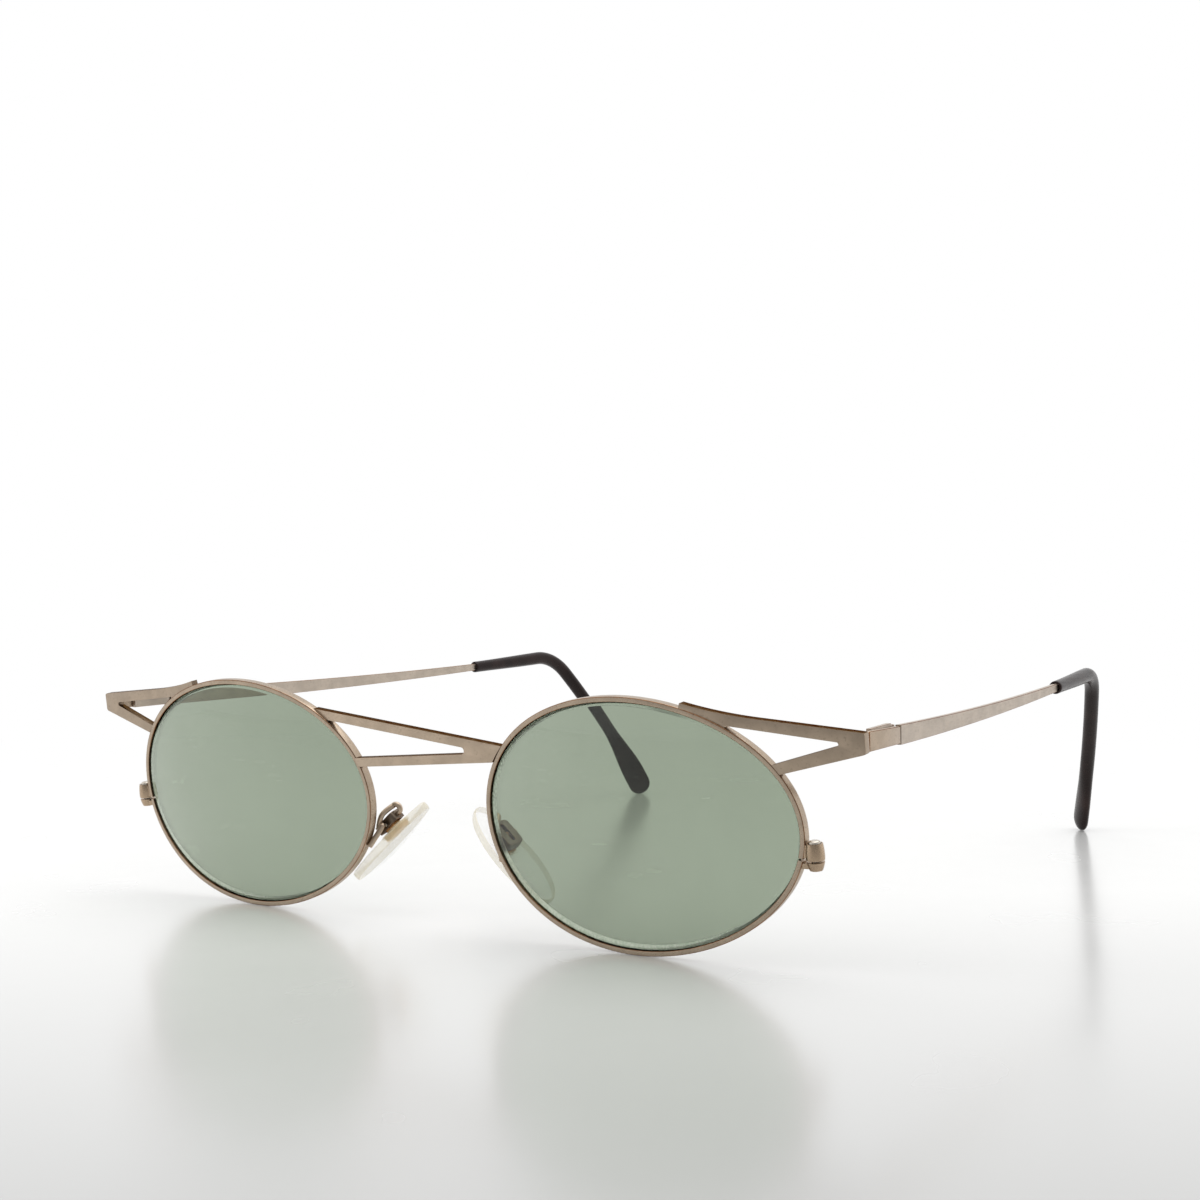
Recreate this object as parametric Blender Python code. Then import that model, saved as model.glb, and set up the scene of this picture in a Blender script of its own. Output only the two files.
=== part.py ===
"""Round metal sunglasses: slotted bridge and endpieces, split rims, adjustable pads, folding temples.

Metres, +Z up, the front facing -Y and the temples running back along +Y. Left is the wearer's left, on +X.
Every paired piece is modelled once, on the left, and its right-hand twin is the mirror image of it.
"""

import math

import bmesh
import bpy
from mathutils import Matrix, Vector

# Lenses and rims
LENS_WIDTH = 0.0480
LENS_HEIGHT = 0.0337
RIM_SPACING = 0.0219
NASAL_FULLNESS = 0.02
LENS_CURVE = 0.0705
LENS_THICKNESS = 0.0018
LENS_SETBACK = 0.0005
LENS_FIT = 0.00012
BEVEL_FRONT = 0.00045
BEVEL_BACK = 0.0003
RIM_WALL = 0.00075
RIM_DEPTH = 0.0014
RIM_CORNER = 0.00012
GROOVE_DEPTH = 0.00035
GROOVE_WIDTH = 0.0009
RIM_SLIT = 0.0003
WRAP = math.radians(2.3)
FRONT_TILT = math.radians(6.5)
SOLDER_GAP = 0.00012

# Rim closing barrels, on the temple side of each rim
SLIT_DROP = 0.0034
BARREL_RADIUS = 0.00124
BARREL_OFFSET = 0.00148
BARREL_TOP_RADIUS = 0.00108
BARREL_FOOT_RADIUS = 0.00085
BARREL_HEAD_ROOM = 0.0003
BARREL_UPPER = 0.0021
BARREL_LOWER = 0.0011
BARREL_WEB = 0.0012
RIM_SCREW_RADIUS = 0.0005
RIM_SCREW_HEAD = 0.0008
RIM_SCREW_HEAD_HEIGHT = 0.0006
BARREL_WEB_INSET = 0.0002
SCREW_FIT = 0.0001
SCREW_EDGE = 0.00015

# Bridge: heights over the lens centres where its edges pass the rims
BRIDGE_THICKNESS = 0.0012
BRIDGE_FRONT = 0.0030
BRIDGE_TOP_AT_RIGHT = 0.01266
BRIDGE_TOP_AT_LEFT = 0.01018
BRIDGE_FOOT_AT_RIGHT = 0.00535
BRIDGE_FOOT_AT_LEFT = 0.00716
BRIDGE_BAR = 0.00133
BRIDGE_ROOT = 0.0124
BRIDGE_SLOT_RADIUS = 0.0005

# Endpieces
ENDPIECE_THICKNESS = 0.00115
ENDPIECE_FRONT = 0.0050
ENDPIECE_SWEEP_INSET = 0.00225
ENDPIECE_SWEEP = math.radians(8.64)
ENDPIECE_REACH = 0.0086
ENDPIECE_TOP = 0.01337
ENDPIECE_HEIGHT = 0.00274
ENDPIECE_TOP_RISE = math.radians(6.5)
ENDPIECE_CORNER = 0.0004
TONGUE_ANGLE = math.radians(69.3)
TONGUE_WIDTH = 0.00065
TONGUE_BLEND = 0.0109
UPPER_ARM = 0.00155
UPPER_ARM_TAPER = math.radians(0.9)
LEG_ROOT = 0.0099
LEG_WIDTH = 0.00165
LEG_RISE = math.radians(13.8)
LEG_TAPER = math.radians(2.7)
ENDPIECE_SLOT_RADIUS = 0.00028
PLATE_BEVEL = 0.0001

# Hinges, on the inner faces of the block and the strip, with their axes at the line between the two
KNUCKLE_RADIUS = 0.0009
KNUCKLE_HEIGHT = 0.00078
KNUCKLE_GAP = 0.0001
HINGE_CLEARANCE = 0.00015
HINGE_SCREW_RADIUS = 0.00035
HINGE_SCREW_HEAD = 0.0006
HINGE_SCREW_HEAD_HEIGHT = 0.0003
LEAF_THICKNESS = 0.0007
LEAF_EDGE = 0.00009
FRONT_LEAF_ABOVE = 0.0016
FRONT_LEAF_BELOW = 0.001
FRONT_LEAF_LENGTH = 0.0070
TEMPLE_LEAF_HEIGHT = 0.0017
TEMPLE_LEAF_LENGTH = 0.0048

# Temples
TEMPLE_TOE = math.radians(6.1)
TEMPLE_INSET = 0.0001
TEMPLE_THICKNESS = 0.0008
TEMPLE_SAG = 0.00085
BLOCK_LENGTH = 0.0112
BLOCK_HEIGHT = 0.00253
BLOCK_END_HEIGHT = 0.00225
BLOCK_CORNER = 0.00025
STRIP_HEIGHT = 0.0026
STRIP_END_HEIGHT = 0.00125
STRIP_CORNER = 0.0001
BUTT_GAP = 0.00012
COLLAR_AT = 0.0835
CORE_RADIUS = 0.0006
CORE_BLEND = 0.0024
CORE_FIT = 0.00012
CORE_SHORT_OF_END = 0.015
BEND_START = 0.1019
BEND_RADIUS = 0.0090
BEND_ANGLE = math.radians(52)
DROP_RADIUS = 0.110
DROP_LEAN = math.radians(14)

# Temple tips
COLLAR_WIDTH = 0.0021
COLLAR_CHAMFER = 0.0002
TIP_WIDTH = 0.00245
PADDLE_WIDTH = 0.0045
PADDLE_THICKNESS = 0.0021
PADDLE_LENGTH = 0.016
PADDLE_ROUND = 0.0022
PADDLE_TWIST = math.radians(40)

# Nose pads and what carries them
PAD_LENGTH = 0.0179
PAD_WIDTH = 0.0070
PAD_FULLNESS = 0.08
PAD_EDGE = 0.0013
PAD_CROWN = 0.0009
PAD_ROUND = 0.0004
PAD_OFF_RIM = 0.00084
PAD_BEHIND_RIM = 0.00482
PAD_DROP = 0.0062
PAD_SPLAY = math.radians(48.8)
PAD_TURN = math.radians(13)
PAD_STEM_ABOVE_CENTRE = 0.0021
PAD_BOSS_HEIGHT = 0.00035
PAD_BOSS_LENGTH = 0.0050
PAD_BOSS_WIDTH = 0.0034
PAD_BOSS_CORNER = 0.0013
INSERT_LENGTH = 0.0040
INSERT_WIDTH = 0.0024
INSERT_THICKNESS = 0.00085
INSERT_FIT = 0.0001
STEM_RADIUS = 0.0005
STEM_WIDTH = 0.0017
STEM_ROOT = 0.0010
BOX_LENGTH = 0.0042
BOX_WIDTH = 0.0027
BOX_DEPTH = 0.0014
BOX_WALL = 0.0004
BOX_FLOOR = 0.00025
BOX_CORNER = 0.0006
BOX_SLOT_LENGTH = 0.0030
BOX_SLOT_WIDTH = 0.0006
BOX_SLOT_CORNER = 0.00029
BOX_PAD_GAP = 0.0004
AXIS_BELOW_BOX_EDGE = 0.0006
PAD_SCREW_RADIUS = 0.00025
PAD_SCREW_HEAD = 0.0006
PAD_SCREW_HEAD_HEIGHT = 0.0004
ARM_RADIUS = 0.0004
ARM_FOOT_DROP = 0.0067
ARM_SIDE_DROP = 0.0040
ARM_SIDE_BACK = 0.0014
ARM_BOX_GAP = 0.0002
ARM_LEAD = 0.0003
ARM_PASS_DOWN = 0.0007
ARM_PASS_OUT = 0.0004
ARM_CORNER_UP = 0.0010

# How finely round forms are cut
RIM_STEPS = 64
TURN_STEPS = 16
PAD_STEPS = 28
TIP_SIDES = 12
WIRE_SIDES = 8
LENS_RINGS = 3
BARREL_RINGS = 4
STRIP_RINGS = 7
BEND_RINGS = 6
PADDLE_RINGS = 5
CROWN_RINGS = 4
ANGLE_STEP = 0.0001
SHARP_ANGLE = math.radians(35)

RIM_HALF_WIDTH = LENS_WIDTH / 2 + RIM_WALL
RIM_HALF_HEIGHT = LENS_HEIGHT / 2 + RIM_WALL
EYE_X = RIM_SPACING / 2 + RIM_HALF_WIDTH
HINGE_HEIGHT = 3 * KNUCKLE_HEIGHT + 2 * KNUCKLE_GAP


# Outlines and curves


def outline_point(curve, angle, offset=0.0):
    """The point of a closed curve at an angle, moved out square to the curve by offset."""
    along = curve(angle + ANGLE_STEP) - curve(angle - ANGLE_STEP)
    outward = Vector((along.y, -along.x)).normalized()
    return curve(angle) + outward * offset


def rim_curve(angle):
    """The rim's outer edge: an ellipse a little taller on the nose side. Angle 0 is the temple side."""
    height = RIM_HALF_HEIGHT * (1 - NASAL_FULLNESS * math.cos(angle))
    return Vector((RIM_HALF_WIDTH * math.cos(angle), height * math.sin(angle)))


def pad_curve(angle):
    """The pad's outline: an egg, fuller at its lower end, which is at angle 0."""
    width = PAD_WIDTH * (1 + PAD_FULLNESS * math.cos(angle))
    return Vector((PAD_LENGTH / 2 * math.cos(angle), width / 2 * math.sin(angle)))


def rim_point(angle, offset=0.0):
    return outline_point(rim_curve, angle, offset)


def angle_at_height(height, nasal):
    """Where the rim's outer edge passes a height over the lens centre."""
    angle = math.asin(height / RIM_HALF_HEIGHT)
    return math.pi - angle if nasal else angle


def face_depth(point):
    """How far the curved face lies behind its middle at a point of the outline."""
    return LENS_CURVE - math.sqrt(LENS_CURVE**2 - point.length_squared)


def even_angles(count):
    return [2 * math.pi * i / count for i in range(count)]


def arc(centre, radius, start, end, steps):
    """Points on an arc, both ends included."""
    angles = [start + (end - start) * i / steps for i in range(steps + 1)]
    return [centre + Vector((math.cos(a), math.sin(a))) * radius for a in angles]


def quadratic(start, control, end, steps):
    """Points on a curve that leaves start and reaches end along the lines to control."""
    points = []
    for i in range(steps + 1):
        t = i / steps
        points.append(start * (1 - t) ** 2 + control * (2 * t * (1 - t)) + end * t**2)
    return points


def meeting(first, first_slope, second, second_slope):
    """Where two lines cross, each given by a point and a slope."""
    rise = second.y - first.y + first_slope * first.x - second_slope * second.x
    across = rise / (first_slope - second_slope)
    return Vector((across, first.y + first_slope * (across - first.x)))


def wedge(open_x, upper, upper_slope, lower, lower_slope, radius, steps=6):
    """A wedge-shaped slot, open at open_x and narrowing towards +X to an end of the given radius."""
    up = Vector((-upper_slope, 1)).normalized()
    down = Vector((lower_slope, -1)).normalized()
    centre = meeting(upper - up * radius, upper_slope, lower - down * radius, lower_slope)
    end = arc(centre, radius, math.atan2(up.y, up.x), math.atan2(down.y, down.x), steps)
    top = Vector((open_x, upper.y + upper_slope * (open_x - upper.x)))
    bottom = Vector((open_x, lower.y + lower_slope * (open_x - lower.x)))
    return [top] + end + [bottom]


def rounded(corner, before, after, radius, steps=3):
    """A corner of an outline rounded to a radius, between the points before and after it."""
    back = (before - corner).normalized()
    on = (after - corner).normalized()
    reach = radius / math.tan(back.angle(on) / 2)
    return quadratic(corner + back * reach, corner, corner + on * reach, steps)


def rounded_rectangle(length, width, radius, steps=3):
    """The outline of a rectangle with round corners, about its middle."""
    points = []
    for quarter, (along, across) in enumerate(((1, 1), (-1, 1), (-1, -1), (1, -1))):
        centre = Vector((along * (length / 2 - radius), across * (width / 2 - radius)))
        start = quarter * math.pi / 2
        points += arc(centre, radius, start, start + math.pi / 2, steps)
    return points


# Meshes


def skin(rings):
    """A closed surface over rings of points, of which a ring of one point is a tip."""
    mesh = bmesh.new()
    rows = [[mesh.verts.new(point) for point in ring] for ring in rings]
    for here, there in zip(rows, rows[1:]):
        count = max(len(here), len(there))
        for i in range(count):
            j = (i + 1) % count
            near = (here[i % len(here)], here[j % len(here)])
            far = (there[j % len(there)], there[i % len(there)])
            mesh.faces.new(dict.fromkeys(near + far))
    for row in (rows[0], rows[-1]):
        if len(row) > 1:
            mesh.faces.new(row)
    bmesh.ops.recalc_face_normals(mesh, faces=mesh.faces)
    return mesh


def prism(outline, near, far, bevel=0.0):
    """An outline in X and Z, filled between two depths, each a length or a function of X."""
    depths = [depth if callable(depth) else (lambda x, fixed=depth: fixed) for depth in (near, far)]
    mesh = skin([[Vector((p.x, depth(p.x), p.y)) for p in outline] for depth in depths])
    if bevel:
        caps = [face for face in mesh.faces if len(face.verts) == len(outline)]
        edges = {edge for face in caps for edge in face.edges}
        bmesh.ops.bevel(mesh, geom=list(edges), offset=bevel, segments=1, affect="EDGES", clamp_overlap=True)
    return mesh


def slab(outline, low, high):
    """An outline in X and Y, filled between two heights."""
    return skin([[Vector((p.x, p.y, height)) for p in outline] for height in (low, high)])


def box(low, high):
    corners = ((low[0], low[1]), (high[0], low[1]), (high[0], high[1]), (low[0], high[1]))
    return slab([Vector(corner) for corner in corners], low[2], high[2])


def turned(profile):
    """A profile of (radius, height) points turned about Z."""
    rings = []
    for radius, height in profile:
        count = TURN_STEPS if radius > 0 else 1
        spokes = [(math.cos(a), math.sin(a)) for a in even_angles(count)]
        rings.append([Vector((radius * x, radius * y, height)) for x, y in spokes])
    return skin(rings)


def rod(radius, low, high):
    return turned([(0, low), (radius, low), (radius, high), (0, high)])


def stepped_rod(radius, low, head_radius, seat, high):
    """The space that a screw and its sunk head take: a rod that widens at the height seat."""
    shank = [(0, low), (radius, low), (radius, seat)]
    return turned(shank + [(head_radius, seat), (head_radius, high), (0, high)])


def tube(path, radius):
    """A round wire along a path of points."""
    rings = []
    side = (path[1] - path[0]).orthogonal()
    for i, point in enumerate(path):
        along = (path[min(i + 1, len(path) - 1)] - path[max(i - 1, 0)]).normalized()
        side = (side - along * side.dot(along)).normalized()
        other = along.cross(side)
        ring = [side * math.cos(a) + other * math.sin(a) for a in even_angles(WIRE_SIDES)]
        rings.append([point + spoke * radius for spoke in ring])
    return skin(rings)


def smooth_path(points, steps=5):
    """A smooth curve through points, as a list of points along it."""
    path = []
    for i in range(len(points) - 1):
        before = points[max(i - 1, 0)]
        start, end = points[i], points[i + 1]
        after = points[min(i + 2, len(points) - 1)]
        for j in range(steps):
            t = j / steps
            bend = (end - before) * (t - 2 * t**2 + t**3) / 2 + (after - start) * (t**3 - t**2) / 2
            path.append(start * (1 - 3 * t**2 + 2 * t**3) + end * (3 * t**2 - 2 * t**3) + bend)
    return path + [points[-1]]


# Objects


def material(name, colour, roughness, metallic, transmission=0.0):
    made = bpy.data.materials.new(name)
    made.use_nodes = True
    shader = made.node_tree.nodes["Principled BSDF"]
    shader.inputs["Base Color"].default_value = (*colour, 1)
    shader.inputs["Roughness"].default_value = roughness
    shader.inputs["Metallic"].default_value = metallic
    shader.inputs["Transmission Weight"].default_value = transmission
    return made


def solid(name, mesh, frame=None):
    """An object at the origin holding a mesh that was modelled in the given frame."""
    data = bpy.data.meshes.new(name)
    if frame is not None:
        bmesh.ops.transform(mesh, matrix=frame, verts=mesh.verts)
    mesh.to_mesh(data)
    mesh.free()
    made = bpy.data.objects.new(name, data)
    bpy.context.scene.collection.objects.link(made)
    return made


def apply_tools(body, operation, tools):
    """Joins tools to a body, or cuts them out of it, and removes them."""
    for tool in tools:
        modifier = body.modifiers.new(tool.name, "BOOLEAN")
        modifier.operation = operation
        modifier.object = tool
    bpy.context.view_layer.update()
    graph = bpy.context.evaluated_depsgraph_get()
    result = bpy.data.meshes.new_from_object(body.evaluated_get(graph))
    body.modifiers.clear()
    body.data = result
    for tool in tools:
        bpy.data.objects.remove(tool)
    return body


def join(body, *tools):
    return apply_tools(body, "UNION", tools)


def cut(body, *tools):
    return apply_tools(body, "DIFFERENCE", tools)


def mirrored(left, name):
    """The right-hand twin of a left-hand object."""
    mesh = bmesh.new()
    mesh.from_mesh(left.data)
    bmesh.ops.scale(mesh, vec=(-1, 1, 1), verts=mesh.verts)
    bmesh.ops.reverse_faces(mesh, faces=mesh.faces)
    return solid(name, mesh)


def finish(obj, surface, carrier):
    """Gives an object its material and shading, and hangs it on the empty that carries it."""
    obj.data.materials.clear()
    obj.data.materials.append(surface)
    obj.data.shade_smooth()
    obj.data.set_sharp_from_angle(angle=SHARP_ANGLE)
    obj.data.transform(carrier.matrix_world.inverted())
    obj.parent = carrier


def empty(name, frame, parent=None):
    made = bpy.data.objects.new(name, None)
    made.empty_display_size = 0.005
    bpy.context.scene.collection.objects.link(made)
    made.parent = parent
    if parent is not None:
        made.matrix_basis = parent.matrix_world.inverted() @ frame
    else:
        made.matrix_basis = frame
    bpy.context.view_layer.update()
    return made


# Frames that pieces are modelled in


def eye_height():
    """The height of the lens centres that puts the lowest point of the leaning rims on the floor."""
    lowest = 0.0
    for angle in even_angles(4 * RIM_STEPS):
        point = rim_point(angle)
        depth = face_depth(point) + point.x * math.sin(WRAP)
        height = point.y * math.cos(FRONT_TILT) + depth * math.sin(FRONT_TILT)
        lowest = min(lowest, height)
    return -lowest


def front_frame():
    """X across, Y back and Z up along the leaning front, from between the lens centres."""
    return Matrix.Translation((0, 0, eye_height())) @ Matrix.Rotation(FRONT_TILT, 4, "X")


def eye_frame():
    """The left lens centre, turned by the wrap of the front."""
    return front_frame() @ Matrix.Translation((EYE_X, 0, 0)) @ Matrix.Rotation(WRAP, 4, "Z")


def barrel_frame():
    """The rim screw's axis at the slit in the rim."""
    angle = angle_at_height(-SLIT_DROP, nasal=False)
    point = rim_point(angle)
    depth = face_depth(point) + RIM_DEPTH / 2
    return eye_frame() @ Matrix.Translation((point.x + BARREL_OFFSET, depth, point.y))


def endpiece_depth(across):
    """How far back the endpiece's front face lies: it sweeps back towards the temple."""
    start = EYE_X + RIM_HALF_WIDTH - ENDPIECE_SWEEP_INSET
    return ENDPIECE_FRONT + math.tan(ENDPIECE_SWEEP) * (across - start)


def endpiece_end():
    """The X of the endpiece's outer end."""
    return EYE_X + RIM_HALF_WIDTH + ENDPIECE_REACH


def temple_frame():
    """The front end of the temple's centre line: Y runs back along the temple and X out of its side."""
    out = endpiece_end() - TEMPLE_INSET
    foot = ENDPIECE_TOP - ENDPIECE_HEIGHT
    back = endpiece_depth(out) + ENDPIECE_THICKNESS
    lowest = front_frame() @ Vector((out, back, foot))
    middle = front_frame() @ Vector((out, back, foot + ENDPIECE_HEIGHT / 2))
    start = Vector((out, lowest.y + BUTT_GAP, middle.z))
    frame = Matrix.Translation(start) @ Matrix.Rotation(TEMPLE_TOE, 4, "Z")
    return frame @ Matrix.Translation((-TEMPLE_THICKNESS / 2, 0, 0))


def hinge_frame():
    """The hinge's upright axis, at the middle of its height: Y runs back along the temple."""
    behind = BLOCK_LENGTH + BUTT_GAP / 2
    return temple_frame() @ Matrix.Translation((-hinge_inset(), behind, temple_sag(behind)))


def hinge_inset():
    """How far the hinge's axis lies inside the temple's centre line."""
    return TEMPLE_THICKNESS / 2 + HINGE_CLEARANCE + KNUCKLE_RADIUS


def pad_frame():
    """The pad screw's axis: X runs down the pad, Y is the axis and Z points at the nose."""
    down = Vector((math.sin(PAD_SPLAY), 0, -math.cos(PAD_SPLAY)))
    square = Vector((-math.cos(PAD_SPLAY), 0, -math.sin(PAD_SPLAY)))
    inward = square * math.cos(PAD_TURN) + Vector((0, 1, 0)) * math.sin(PAD_TURN)
    across = inward.cross(down)
    turn = Matrix((down, across, inward)).transposed().to_4x4()
    rim_side = rim_point(angle_at_height(-PAD_DROP, nasal=True))
    beside = eye_frame() @ Vector((rim_side.x, face_depth(rim_side), rim_side.y))
    centre = Vector((beside.x - PAD_OFF_RIM, beside.y + PAD_BEHIND_RIM, eye_height() - PAD_DROP))
    stem = Matrix.Translation((-PAD_STEM_ABOVE_CENTRE, 0, -pad_middle()))
    return Matrix.Translation(centre) @ turn @ stem


def pad_middle():
    """The pad's middle plane over the pad screw's axis."""
    return pad_back() + PAD_EDGE / 2


def pad_back():
    """The pad's flat outer face over the pad screw's axis."""
    return AXIS_BELOW_BOX_EDGE + BOX_PAD_GAP + PAD_BOSS_HEIGHT


# Front: rims and lenses


def rim_section():
    """The rim's section as (inset from its outer edge, depth behind its front) points."""
    groove = RIM_DEPTH / 2
    return (
        (0, RIM_CORNER),
        (RIM_CORNER, 0),
        (RIM_WALL - RIM_CORNER, 0),
        (RIM_WALL, RIM_CORNER),
        (RIM_WALL, groove - GROOVE_WIDTH / 2),
        (RIM_WALL - GROOVE_DEPTH, groove),
        (RIM_WALL, groove + GROOVE_WIDTH / 2),
        (RIM_WALL, RIM_DEPTH - RIM_CORNER),
        (RIM_WALL - RIM_CORNER, RIM_DEPTH),
        (RIM_CORNER, RIM_DEPTH),
        (0, RIM_DEPTH - RIM_CORNER),
    )


def rim():
    """A grooved ring that follows the lens's curve, open at the slit between the barrels."""
    slit = angle_at_height(-SLIT_DROP, nasal=False)
    half = RIM_SLIT / 2 / (RIM_HALF_HEIGHT * math.cos(slit))
    start, end = slit + half, slit - half + 2 * math.pi
    rings = []
    for i in range(RIM_STEPS + 1):
        angle = start + (end - start) * i / RIM_STEPS
        front = face_depth(rim_point(angle))
        ring = []
        for inset, depth in rim_section():
            point = rim_point(angle, -inset)
            ring.append(Vector((point.x, front + depth, point.y)))
        rings.append(ring)
    return solid("rim", skin(rings), eye_frame())


def lens():
    """A curved lens with a bevelled edge whose ridge sits in the rim's groove."""
    front = LENS_SETBACK
    back = LENS_SETBACK + LENS_THICKNESS
    shares = [i / LENS_RINGS for i in range(1, LENS_RINGS)]
    rings = [[Vector((0, front, 0))]]
    rings += [lens_ring(RIM_WALL + BEVEL_FRONT, front, share) for share in shares]
    rings.append(lens_ring(RIM_WALL + BEVEL_FRONT, front))
    rings.append(lens_ridge(RIM_WALL - GROOVE_DEPTH + LENS_FIT, RIM_DEPTH / 2))
    rings.append(lens_ridge(RIM_WALL + BEVEL_BACK / 2, RIM_DEPTH / 2 + GROOVE_WIDTH / 2 + LENS_FIT))
    rings.append(lens_ring(RIM_WALL + BEVEL_BACK, back))
    rings += [lens_ring(RIM_WALL + BEVEL_BACK, back, share) for share in reversed(shares)]
    rings.append([Vector((0, back, 0))])
    return solid("lens", skin(rings), eye_frame())


def lens_ring(inset, behind, share=1.0):
    """A ring of the lens's face, at a share of the way from its middle to its edge."""
    ring = []
    for angle in even_angles(RIM_STEPS):
        point = rim_point(angle, -inset) * share
        ring.append(Vector((point.x, face_depth(point) + behind, point.y)))
    return ring


def lens_ridge(inset, behind):
    """A ring of the lens's edge, which keeps its depth behind the rim's front."""
    ring = []
    for angle in even_angles(RIM_STEPS):
        point = rim_point(angle, -inset)
        ring.append(Vector((point.x, face_depth(rim_point(angle)) + behind, point.y)))
    return ring


def rim_clearance(gap=SOLDER_GAP):
    """A cutter that clears the left rim's outer wall."""
    outline = [rim_point(angle, gap) for angle in even_angles(RIM_STEPS)]
    return solid("rim_clearance", prism(outline, -RIM_HALF_WIDTH / 2, RIM_HALF_WIDTH), eye_frame())


def barrel_radius(height):
    """The closing block is one barrel, widest a little over the slit and narrowest at its foot."""
    top = RIM_SLIT / 2 + BARREL_UPPER
    foot = -RIM_SLIT / 2 - BARREL_LOWER
    belly = (top + foot) / 2
    end = BARREL_TOP_RADIUS if height > belly else BARREL_FOOT_RADIUS
    return BARREL_RADIUS - (BARREL_RADIUS - end) * ((height - belly) / (top - belly)) ** 2


def barrel(low, high, head_room):
    """A length of the closing block, with a web to the rim, bored for the screw."""
    heights = [low + (high - low) * i / BARREL_RINGS for i in range(BARREL_RINGS + 1)]
    profile = [(0, low)] + [(barrel_radius(height), height) for height in heights] + [(0, high)]
    body = solid("barrel", turned(profile), barrel_frame())
    web_low = (-BARREL_OFFSET - RIM_WALL, -BARREL_WEB / 2, low + BARREL_WEB_INSET)
    web_high = (0, BARREL_WEB / 2, high - BARREL_WEB_INSET)
    join(body, solid("web", box(web_low, web_high), barrel_frame()))
    shank, head = RIM_SCREW_RADIUS + SCREW_FIT, RIM_SCREW_HEAD + SCREW_FIT
    if head_room:
        bore = stepped_rod(shank, low - BARREL_RADIUS, head, high - head_room, high + BARREL_RADIUS)
    else:
        bore = rod(shank, low - BARREL_RADIUS, high + BARREL_RADIUS)
    return cut(body, rim_clearance(), solid("bore", bore, barrel_frame()))


def rim_barrel_upper():
    return barrel(RIM_SLIT / 2, RIM_SLIT / 2 + BARREL_UPPER, BARREL_HEAD_ROOM)


def rim_barrel_lower():
    return barrel(-RIM_SLIT / 2 - BARREL_LOWER, -RIM_SLIT / 2, 0)


def screw(shank, head, head_height, seat, end):
    """A screw that points down, its head's underside at the height seat and its end at end."""
    top = seat + head_height
    profile = [(0, end), (shank, end), (shank, seat), (head, seat), (head, top - SCREW_EDGE)]
    return turned(profile + [(head - SCREW_EDGE, top), (0, top)])


def rim_screw():
    seat = RIM_SLIT / 2 + BARREL_UPPER - BARREL_HEAD_ROOM + SCREW_FIT
    end = -RIM_SLIT / 2 - BARREL_LOWER
    made = screw(RIM_SCREW_RADIUS, RIM_SCREW_HEAD, RIM_SCREW_HEAD_HEIGHT, seat, end)
    return solid("rim_screw", made, barrel_frame())


# Front: bridge and endpieces


def bridge():
    """A plate between the rims with a long wedge slot, so that two bars run into one at the left rim."""
    rim_edge = RIM_SPACING / 2
    top_slope = (BRIDGE_TOP_AT_LEFT - BRIDGE_TOP_AT_RIGHT) / RIM_SPACING
    foot_slope = (BRIDGE_FOOT_AT_LEFT - BRIDGE_FOOT_AT_RIGHT) / RIM_SPACING
    inside = rim_edge + BRIDGE_ROOT
    outline = [
        Vector((-inside, BRIDGE_TOP_AT_RIGHT - top_slope * BRIDGE_ROOT)),
        Vector((inside, BRIDGE_TOP_AT_LEFT + top_slope * BRIDGE_ROOT)),
        Vector((inside, BRIDGE_FOOT_AT_LEFT + foot_slope * BRIDGE_ROOT)),
        Vector((-inside, BRIDGE_FOOT_AT_RIGHT - foot_slope * BRIDGE_ROOT)),
    ]
    plate = prism(outline, BRIDGE_FRONT, BRIDGE_FRONT + BRIDGE_THICKNESS, PLATE_BEVEL)
    body = solid("bridge", plate, front_frame())
    upper = Vector((-rim_edge, BRIDGE_TOP_AT_RIGHT - BRIDGE_BAR))
    lower = Vector((-rim_edge, BRIDGE_FOOT_AT_RIGHT + BRIDGE_BAR))
    slot = wedge(-inside - RIM_WALL, upper, top_slope, lower, foot_slope, BRIDGE_SLOT_RADIUS)
    through = prism(slot, BRIDGE_FRONT - BRIDGE_THICKNESS, BRIDGE_FRONT + 2 * BRIDGE_THICKNESS)
    left_rim = rim_clearance()
    right_rim = mirrored(left_rim, "rim_clearance_right")
    return cut(body, solid("slot", through, front_frame()), left_rim, right_rim)


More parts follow.
